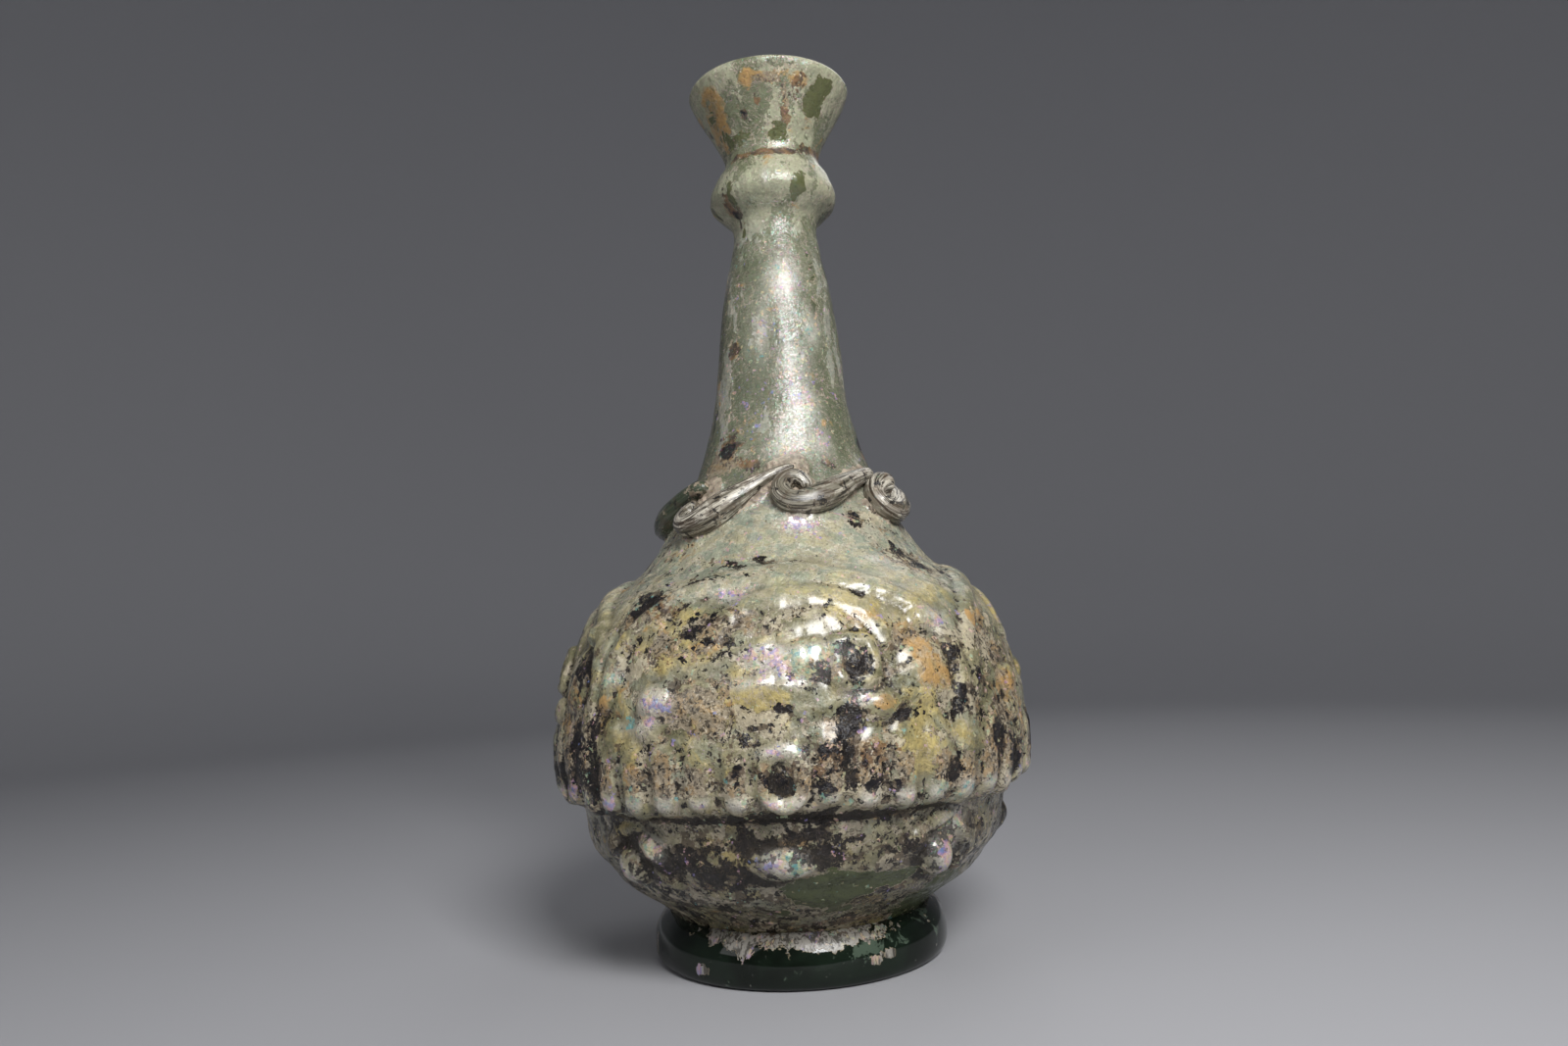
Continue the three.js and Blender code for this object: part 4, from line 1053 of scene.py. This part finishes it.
def make_foot_glass():
    material, tree, shader, where, crumbs = new_glass("dark green glass", transmission=0.3)
    deep = use_group(tree, "flaking", where, Patch_Size=14.0, Turn=8.0)
    film = use_group(tree, "flaking", where, Patch_Size=6.0, Cover=0.14, Turn=60.0,
                     Bias=stored(tree, "filmed"))
    hang = use_group(tree, "flaking", crumbs, Patch_Size=3.4, Cover=0.0, Turn=17.0, Flatten=0.6,
                     Bias=times(tree, stored(tree, "crusted"), 1.7))
    bubbles = use_group(tree, "flaking", where, Patch_Size=1.2, Cover=0.06, Turn=99.0)
    gritty = use_group(tree, "grit", where, Grain_Size=0.7, Turn=12.0)
    colour = tint(tree, ramp(tree, deep["Depth"], -0.1, 0.1), deep_green, bottle_green)
    colour = tint(tree, ramp(tree, film["Depth"], -0.02, 0.04, 0.0, 0.7), colour, foot_film)
    colour = tint(tree, hang["Mask"], colour, hanging_crust(tree, where, crumbs))
    colour = lay(tree, colour, hang_edge, hang["Edge"], 0.8)
    colour = lay(tree, colour, bubble_grey, bubbles["Mask"], 0.6)
    rough = weighted(tree, 0.06, (hang["Mask"], 0.18), (film["Mask"], 0.1))
    raised = weighted(tree, 0.0, (hang["Mask"], 0.7), (gritty["Height"], times(tree, hang["Mask"], 0.6)),
                      (bubbles["Mask"], -0.4))
    set_surface(tree, shader, colour, rough, raised, strength=0.5, distance=0.35)
    shader.inputs["Specular IOR Level"].default_value = 0.25
    return material


foot.data.materials.append(make_foot_glass())
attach(foot, "root")
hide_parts("foot_ring")

# The pontil scar
# A low, sharp ring of green glass under the middle of the base, left where the glassmaker's iron
# rod was cracked off. It is rough where it broke and dusty in its middle.
scar_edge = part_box("pontil_scar")[1].x / mm
scar_hole = scar_edge * 0.53
scar_mid = (scar_edge + scar_hole) / 2


def under_base(radius):
    """Height of the underside of the pushed-up base, in millimetres."""
    return np.interp(radius, outer_base[:, 0], outer_base[:, 1])


scar_line = smooth_line([
    (scar_hole, under_base(scar_hole) + 0.5), (scar_hole + 0.1, under_base(scar_hole) - 0.7),
    (scar_mid - 0.9, under_base(scar_mid) - 1.5), (scar_mid + 0.5, under_base(scar_mid) - 1.7),
    (scar_edge - 0.5, under_base(scar_edge) - 1.1), (scar_edge - 0.05, under_base(scar_edge) + 0.4),
    (scar_mid, under_base(scar_mid) + 0.6), (scar_hole, under_base(scar_hole) + 0.5),
], 4)[:-1]
scar_az, scar_radius, scar_height, _ = turned(scar_line, columns=144)
scar_places = place(scar_az, scar_radius, scar_height)
scar_chips = grain_at(scar_places.reshape(-1, 3), size=2.4, octaves=3, offset=9)
scar_chips = scar_chips.reshape(scar_radius.shape)
scar_broken = smoothstep(0.2, 1.2, under_base(scar_mid) - scar_height)
scar_places[..., 2] += scar_broken * (0.35 + 0.4 * scar_chips)
scar = ring_mesh("pontil_glass", scar_places, closed_ends=False)


broken_green = (0.09, 0.12, 0.05)
dust_beige = (0.36, 0.31, 0.22)


def make_scar_glass():
    material, tree, shader, where, crumbs = new_glass("broken green glass", transmission=0.3)
    dust = use_group(tree, "flaking", crumbs, Patch_Size=3.0, Turn=4.0)
    gritty = use_group(tree, "grit", where, Grain_Size=0.6, Turn=44.0)
    colour = tint(tree, dust["Mask"], broken_green, dust_beige)
    colour = lay(tree, colour, layer_brown, dust["Edge"], 0.7)
    rough = weighted(tree, 0.15, (dust["Mask"], 0.45))
    set_surface(tree, shader, colour, rough, gritty["Height"], strength=0.6, distance=0.3)
    return material


scar.data.materials.append(make_scar_glass())
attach(scar, "root")
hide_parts("pontil_scar")

# The scrolls
# Seven short strands of soft glass, trailed on round the root of the neck. Each starts in a curl
# and runs up over the next one's curl. They were combed lengthwise while hot, have weathered
# silvery beige, and sandy crust is packed round them.
scroll_count = 7
scroll_turn = math.radians(6)
scroll_height = neck_root[1] + 1.6


def wall_radius(height):
    return np.interp(height, wall_line[:, 1], wall_line[:, 0])


scroll_pitch = 2 * math.pi * wall_radius(scroll_height) / scroll_count
curl_inner, curl_outer = 0.095 * scroll_pitch, 0.162 * scroll_pitch
scroll_sag = 0.162 * scroll_pitch
arm_length, arm_rise = 1.02 * scroll_pitch, 0.278 * scroll_pitch
start_width, strand_width = 0.15 * scroll_pitch, 0.222 * scroll_pitch

# Each scroll was laid by hand: turns of its curl, how far its eye sags, how wide its arm is and
# ends, how green it is, how much sand lies on it and how thick a blob it starts in, all as shares
scroll_traits = ("turns", "sag", "arm", "tip", "green", "sand", "blob")
scroll_table = [
    (0.78, 0.0, 1.0, 0.72, 0.25, 0.15, 0.0),
    (0.62, 0.5, 0.95, 0.5, 0.1, 0.3, 0.95),
    (0.72, 0.1, 1.0, 0.42, 0.3, 0.3, 0.2),
    (0.6, 0.6, 0.9, 0.5, 0.6, 0.3, 0.6),
    (0.74, 0.2, 1.0, 0.42, 0.2, 0.4, 0.1),
    (0.58, 0.5, 1.0, 0.85, 1.0, 0.35, 0.0),
    (0.42, 1.0, 1.1, 0.38, 0.05, 0.2, 0.0),
]
scroll_ways = [SimpleNamespace(**dict(zip(scroll_traits, row))) for row in scroll_table]


def scroll_run(index, share):
    """Where a scroll's middle line is at a share of its length: round the wall and up.

    Its first half is the curl, and its second half is the arm, a curve with two bends.
    """
    way, next_way = scroll_ways[index], scroll_ways[(index + 1) % scroll_count]
    eye = scroll_height - way.sag * scroll_sag
    low, high = eye - curl_outer, scroll_height - next_way.sag * scroll_sag + arm_rise
    curl = np.clip(share / 0.5, 0, 1)
    angle = 2 * math.pi * (0.75 - way.turns * (1 - curl))
    radius = curl_inner + (curl_outer - curl_inner) * curl
    t = np.clip((share - 0.5) / 0.5, 0, 1)
    bend = low + (high - low) * 0.85
    first, second = 3 * (1 - t) ** 2 * t, 3 * (1 - t) * t ** 2
    x = (0.28 * first + 0.5 * second + t ** 3) * arm_length
    y = ((1 - t) ** 3 + first) * low + second * bend + t ** 3 * high
    on_curl = share < 0.5
    return (np.where(on_curl, radius * np.cos(angle), x),
            np.where(on_curl, eye + radius * np.sin(angle), y))


def on_wall(azimuth, height, lift):
    """A place at a distance off the wall, and the direction square to the wall there."""
    slope_at = wall_radius(height + 0.5) - wall_radius(height - 0.5)
    out_radius = 1 / np.hypot(1, slope_at)
    out_height = -slope_at * out_radius
    spot = place(azimuth, wall_radius(height) + out_radius * lift, height + out_height * lift)
    out = np.stack([out_radius * np.sin(azimuth), -out_radius * np.cos(azimuth), out_height], -1)
    return spot, out


def scroll_widths(index, share):
    """How wide and how thick a scroll is along its length: a blob or a thin start, a wide arm, a tip."""
    way = scroll_ways[index]
    growth = smoothstep(0, 0.42, share)
    fade = smoothstep(0.66, 1, share)
    arm = smoothstep(0.46, 0.66, share) * (1 - fade)
    width = (start_width + (strand_width - start_width) * growth) * (1 + 0.32 * arm * way.arm)
    width = width * (1 - fade) + strand_width * way.tip * fade
    width = width * (1 + way.blob * (1 - smoothstep(0.06, 0.3, share)))
    return width, width * (1.1 - 0.16 * arm)


def combed(theta, twist):
    """The fine ridges that the comb left round a strand."""
    return (0.5 * np.cos(11 * theta + twist) + 0.5 * np.cos(17 * theta - twist * 1.4)
            + 0.35 * np.cos(5 * theta + twist * 0.6))


def unit(directions):
    return directions / np.linalg.norm(directions, axis=1)[:, None]


def sweep_scroll(index, stations=120, sides=48):
    """One scroll as a combed tube: its places, its middle line, and round, along and share of each."""
    share = np.linspace(0, 1, stations)
    x, height = scroll_run(index, share)
    azimuth = scroll_turn + index * 2 * math.pi / scroll_count + x / wall_radius(scroll_height)
    width, thick = scroll_widths(index, share)
    ends = np.clip(np.minimum(share, 1 - share) / 0.045, 0, 1)
    rounded = np.sqrt(np.clip(1 - (1 - ends) ** 2, 0.0004, 1))
    centre, out = on_wall(azimuth, height, thick * 0.33)
    side = unit(np.cross(out, unit(np.gradient(centre, axis=0))))
    steps = np.linalg.norm(np.diff(centre, axis=0), axis=1)
    along = np.concatenate([[0], np.cumsum(steps)])[:, None]
    theta = np.arange(sides) / sides * 2 * math.pi
    ridges = combed(theta, index * 1.7 + 0.035 * along)
    grown = 1 + 0.032 * ridges * smoothstep(0.02, 0.12, share)[:, None]
    # Powers under 1 make the strand's section a little squarer than an ellipse.
    across = np.sign(np.cos(theta)) * np.abs(np.cos(theta)) ** 0.86 * grown
    upward = np.sign(np.sin(theta)) * np.abs(np.sin(theta)) ** 0.92 * grown
    places = (centre[:, None] + side[:, None] * (width / 2 * rounded)[:, None, None] * across[..., None]
              + out[:, None] * (thick / 2 * rounded)[:, None, None] * upward[..., None])
    return (places, centre, np.tile(theta, (stations, 1)), np.tile(along, (1, sides)),
            np.tile(share[:, None], (1, sides)))


thread_dark = (0.12, 0.10, 0.075)
thread_silver = (0.68, 0.63, 0.52)
thread_olive = (0.14, 0.125, 0.085)
groove_black = (0.03, 0.025, 0.018)
trail_green = (0.035, 0.06, 0.026)
sand_brown = (0.28, 0.215, 0.145)
sand_pale = (0.50, 0.41, 0.30)


def combed_threads(tree):
    """Fine and broad threads of noise that run along the strand."""
    along = times(tree, stored(tree, "along"), 0.03)
    thread = add_node(tree, "CombineXYZ", {0: stored(tree, "ring_x"), 1: stored(tree, "ring_y"),
                                           2: along}).outputs[0]
    return noise_at(tree, thread, 5.0, 5.0, 0.65), noise_at(tree, thread, 1.6, 2.0)


def make_trail_glass():
    material, tree, shader, where, crumbs = new_glass("combed trail glass", transmission=0.12)
    fine, broad = combed_threads(tree)
    glassy = use_group(tree, "flaking", where, Patch_Size=8.0, Cover=0.06, Turn=15.0,
                       Bias=times(tree, stored(tree, "greenness"), 1.5))
    sandy = use_group(tree, "flaking", crumbs, Patch_Size=4.0, Cover=0.16, Turn=29.0,
                      Bias=stored(tree, "sand"))
    gritty = use_group(tree, "grit", where, Grain_Size=0.6, Turn=87.0)
    brown = use_group(tree, "flaking", crumbs, Patch_Size=5.0, Cover=0.46, Turn=43.0)
    dark = use_group(tree, "flaking", crumbs, Patch_Size=3.4, Cover=0.3, Turn=51.0)
    play = use_group(tree, "rainbow", crumbs, Flake_Size=1.4, Turn=63.0, Amount=0.3)
    colour = tint(tree, ramp(tree, fine, 0.43, 0.57), thread_dark, thread_silver)
    colour = tint(tree, ramp(tree, broad, 0.47, 0.59, 0.0, 0.8), colour, thread_olive)
    colour = tint(tree, ramp(tree, fine, 0.46, 0.40, 0.0, 0.9), colour, groove_black)
    colour = lay(tree, colour, trail_green, glassy["Mask"], 0.85)
    colour = lay(tree, colour, tint(tree, gritty["Mottle"], sand_brown, sand_pale), sandy["Mask"], 0.9)
    colour = lay(tree, colour, layer_brown, brown["Mask"], 0.5)
    colour = lay(tree, colour, layer_black, dark["Mask"], 0.9)
    colour = lay(tree, colour, play["Colour"], play["Mask"], 0.3)
    rough = weighted(tree, 0.2, (sandy["Mask"], 0.35), (glassy["Mask"], -0.1))
    raised = weighted(tree, 0.0, (fine, 1.6), (gritty["Height"], 0.35), (sandy["Mask"], 0.5))
    set_surface(tree, shader, colour, rough, raised, strength=0.6, distance=0.35)
    shader.inputs["Coat Weight"].default_value = 0.4
    shader.inputs["Coat Roughness"].default_value = 0.2
    return material


trail_glass = make_trail_glass()
trail_lines = []
for index in range(scroll_count):
    places, centre, theta, along, share = sweep_scroll(index)
    scroll = ring_mesh(f"scroll_glass_{index + 1}", places, closed_ends=True)
    values = {
        "ring_x": np.cos(theta),
        "ring_y": np.sin(theta),
        "along": along + index * 40,
        "greenness": np.full_like(along, scroll_ways[index].green),
        "sand": scroll_ways[index].sand * (0.4 + 0.9 * smoothstep(0.75, 1, share)),
    }
    for label, grid in values.items():
        ring_values(scroll, label, grid)
    scroll.data.materials.append(trail_glass)
    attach(scroll, "root")
    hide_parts(f"scroll_{index + 1}")
    trail_lines.append(centre)

# Sandy soil packed against the scrolls: the vessel's skin rises round them.
soil_thickness = 1.5
soil_near, soil_far = 3.2, 5.6
soil_low, soil_high = 118, 148
trail_points = KDTree(sum(len(line) for line in trail_lines))
for number, point in enumerate(np.concatenate(trail_lines)):
    trail_points.insert(Vector(point), number)
trail_points.balance()
packed_grid = np.zeros_like(radius_grid)
near_trail = (height_grid > soil_low) & (height_grid < soil_high)
near_trail &= (row_grid >= outside_from) & (row_grid < outside_to)
for i, j in zip(*np.nonzero(near_trail)):
    distance = trail_points.find(Vector(vessel_places[i, j]))[2]
    packed_grid[i, j] = 1 - smoothstep(soil_near, soil_far, distance)
packed_noise = grain_at(vessel_places[near_trail], size=3.2, octaves=3, offset=21)
packed_grid[near_trail] *= np.clip(0.7 + 0.9 * packed_noise, 0, 1.3)
lift = soil_thickness * packed_grid
packed_places = place(az_grid, grown_radius + square_grid[..., 0] * lift,
                      grown_height + square_grid[..., 1] * lift)
moved = np.concatenate([packed_places[1:-1].reshape(-1, 3),
                        [packed_places[0].mean(0), packed_places[-1].mean(0)]]) * mm
vessel.data.vertices.foreach_set("co", moved.ravel().astype(np.float32))
vessel.data.update()
ring_values(vessel, "packed", packed_grid)

# The studio
# A pale floor that sweeps up into a pale wall all round. One large soft light stands high in front,
# a weaker one on the left, as in the photograph, and another weak one behind.
sweep_radius = 5.2 * flask_height / mm
sweep_columns = 64
sweep_grey = (0.42, 0.42, 0.44)
sweep_profile = [(0, 0), (0.5, 0), (0.75, 0.01), (0.9, 0.09), (0.98, 0.25), (1, 0.5), (1, 0.9)]
sweep_line = smooth_line([(r * sweep_radius, z * sweep_radius) for r, z in sweep_profile], steps=6)
sweep_az, sweep_out, sweep_height, _ = turned(sweep_line, sweep_columns)
sweep_places = np.stack([sweep_out * np.sin(sweep_az), -sweep_out * np.cos(sweep_az), sweep_height], -1)
sweep_faces = []
for row in range(len(sweep_line) - 1):
    for column in range(sweep_columns):
        low, after = row * sweep_columns, (column + 1) % sweep_columns
        high = low + sweep_columns
        sweep_faces.append((low + column, low + after, high + after, high + column))
sweep_mesh = bpy.data.meshes.new("studio_sweep")
sweep_mesh.from_pydata((sweep_places * mm).reshape(-1, 3).tolist(), [], sweep_faces)
sweep_mesh.shade_smooth()
sweep = bpy.data.objects.new("studio_sweep", sweep_mesh)
bpy.context.scene.collection.objects.link(sweep)
sweep_paint = bpy.data.materials.new("pale studio paint")
sweep_paint.use_nodes = True
sweep_shader = sweep_paint.node_tree.nodes["Principled BSDF"]
sweep_shader.inputs["Base Color"].default_value = (*sweep_grey, 1)
sweep_shader.inputs["Roughness"].default_value = 0.7
sweep_mesh.materials.append(sweep_paint)

# Each light: degrees round from the front, degrees up, distance and size in flask heights, power
soft_lights = {
    "key_light": (19, 34, 2.4, 0.9, 1.15),
    "fill_light": (-52, 24, 3.0, 1.6, 0.12),
    "back_light": (150, 50, 3.2, 1.6, 0.1),
}
aim = Vector((0, 0, flask_height * 0.42))


def soft_light(name, azimuth, elevation, distance, size, power):
    """A square soft light that faces the flask."""
    a, e = math.radians(azimuth), math.radians(elevation)
    towards = Vector((math.sin(a) * math.cos(e), -math.cos(a) * math.cos(e), math.sin(e)))
    data = bpy.data.lights.new(name, "AREA")
    data.shape = "SQUARE"
    data.size = size * flask_height
    data.energy = power * (flask_height * distance) ** 2 * math.pi ** 2
    light = bpy.data.objects.new(name, data)
    light.location = aim + towards * flask_height * distance
    light.rotation_euler = towards.to_track_quat("Z", "Y").to_euler()
    bpy.context.scene.collection.objects.link(light)


for light_name, light_values in soft_lights.items():
    soft_light(light_name, *light_values)

world = bpy.data.worlds.new("studio air")
world.use_nodes = True
air = world.node_tree.nodes["Background"]
air.inputs["Color"].default_value = (0.9, 0.93, 1, 1)
air.inputs["Strength"].default_value = 0.16
bpy.context.scene.world = world

# The camera
# A wide-angle view from close by, a little over a flask's height in front and low down, tilted
# up and rolled as in the photograph.
camera_aside, camera_back, camera_height = 0.9 * mm, 1.215 * flask_height, 0.346 * flask_height
camera_pitch, camera_roll = math.radians(6.08), math.radians(2.86)
camera_data = bpy.data.cameras.new("camera")
camera_data.lens = 24
camera_data.sensor_width = 36
camera_data.clip_start = 0.01
camera = bpy.data.objects.new("camera", camera_data)
ahead = Vector((0, math.cos(camera_pitch), math.sin(camera_pitch)))
level_up = Vector((0, -math.sin(camera_pitch), math.cos(camera_pitch)))
level_right = Vector((1, 0, 0))
right = level_right * math.cos(camera_roll) - level_up * math.sin(camera_roll)
up = level_right * math.sin(camera_roll) + level_up * math.cos(camera_roll)
facing = Matrix((right, up, -ahead)).transposed().to_4x4()
camera.matrix_world = Matrix.Translation((camera_aside, -camera_back, camera_height)) @ facing
bpy.context.scene.collection.objects.link(camera)
bpy.context.scene.camera = camera

bpy.context.scene.view_settings.view_transform = "Standard"
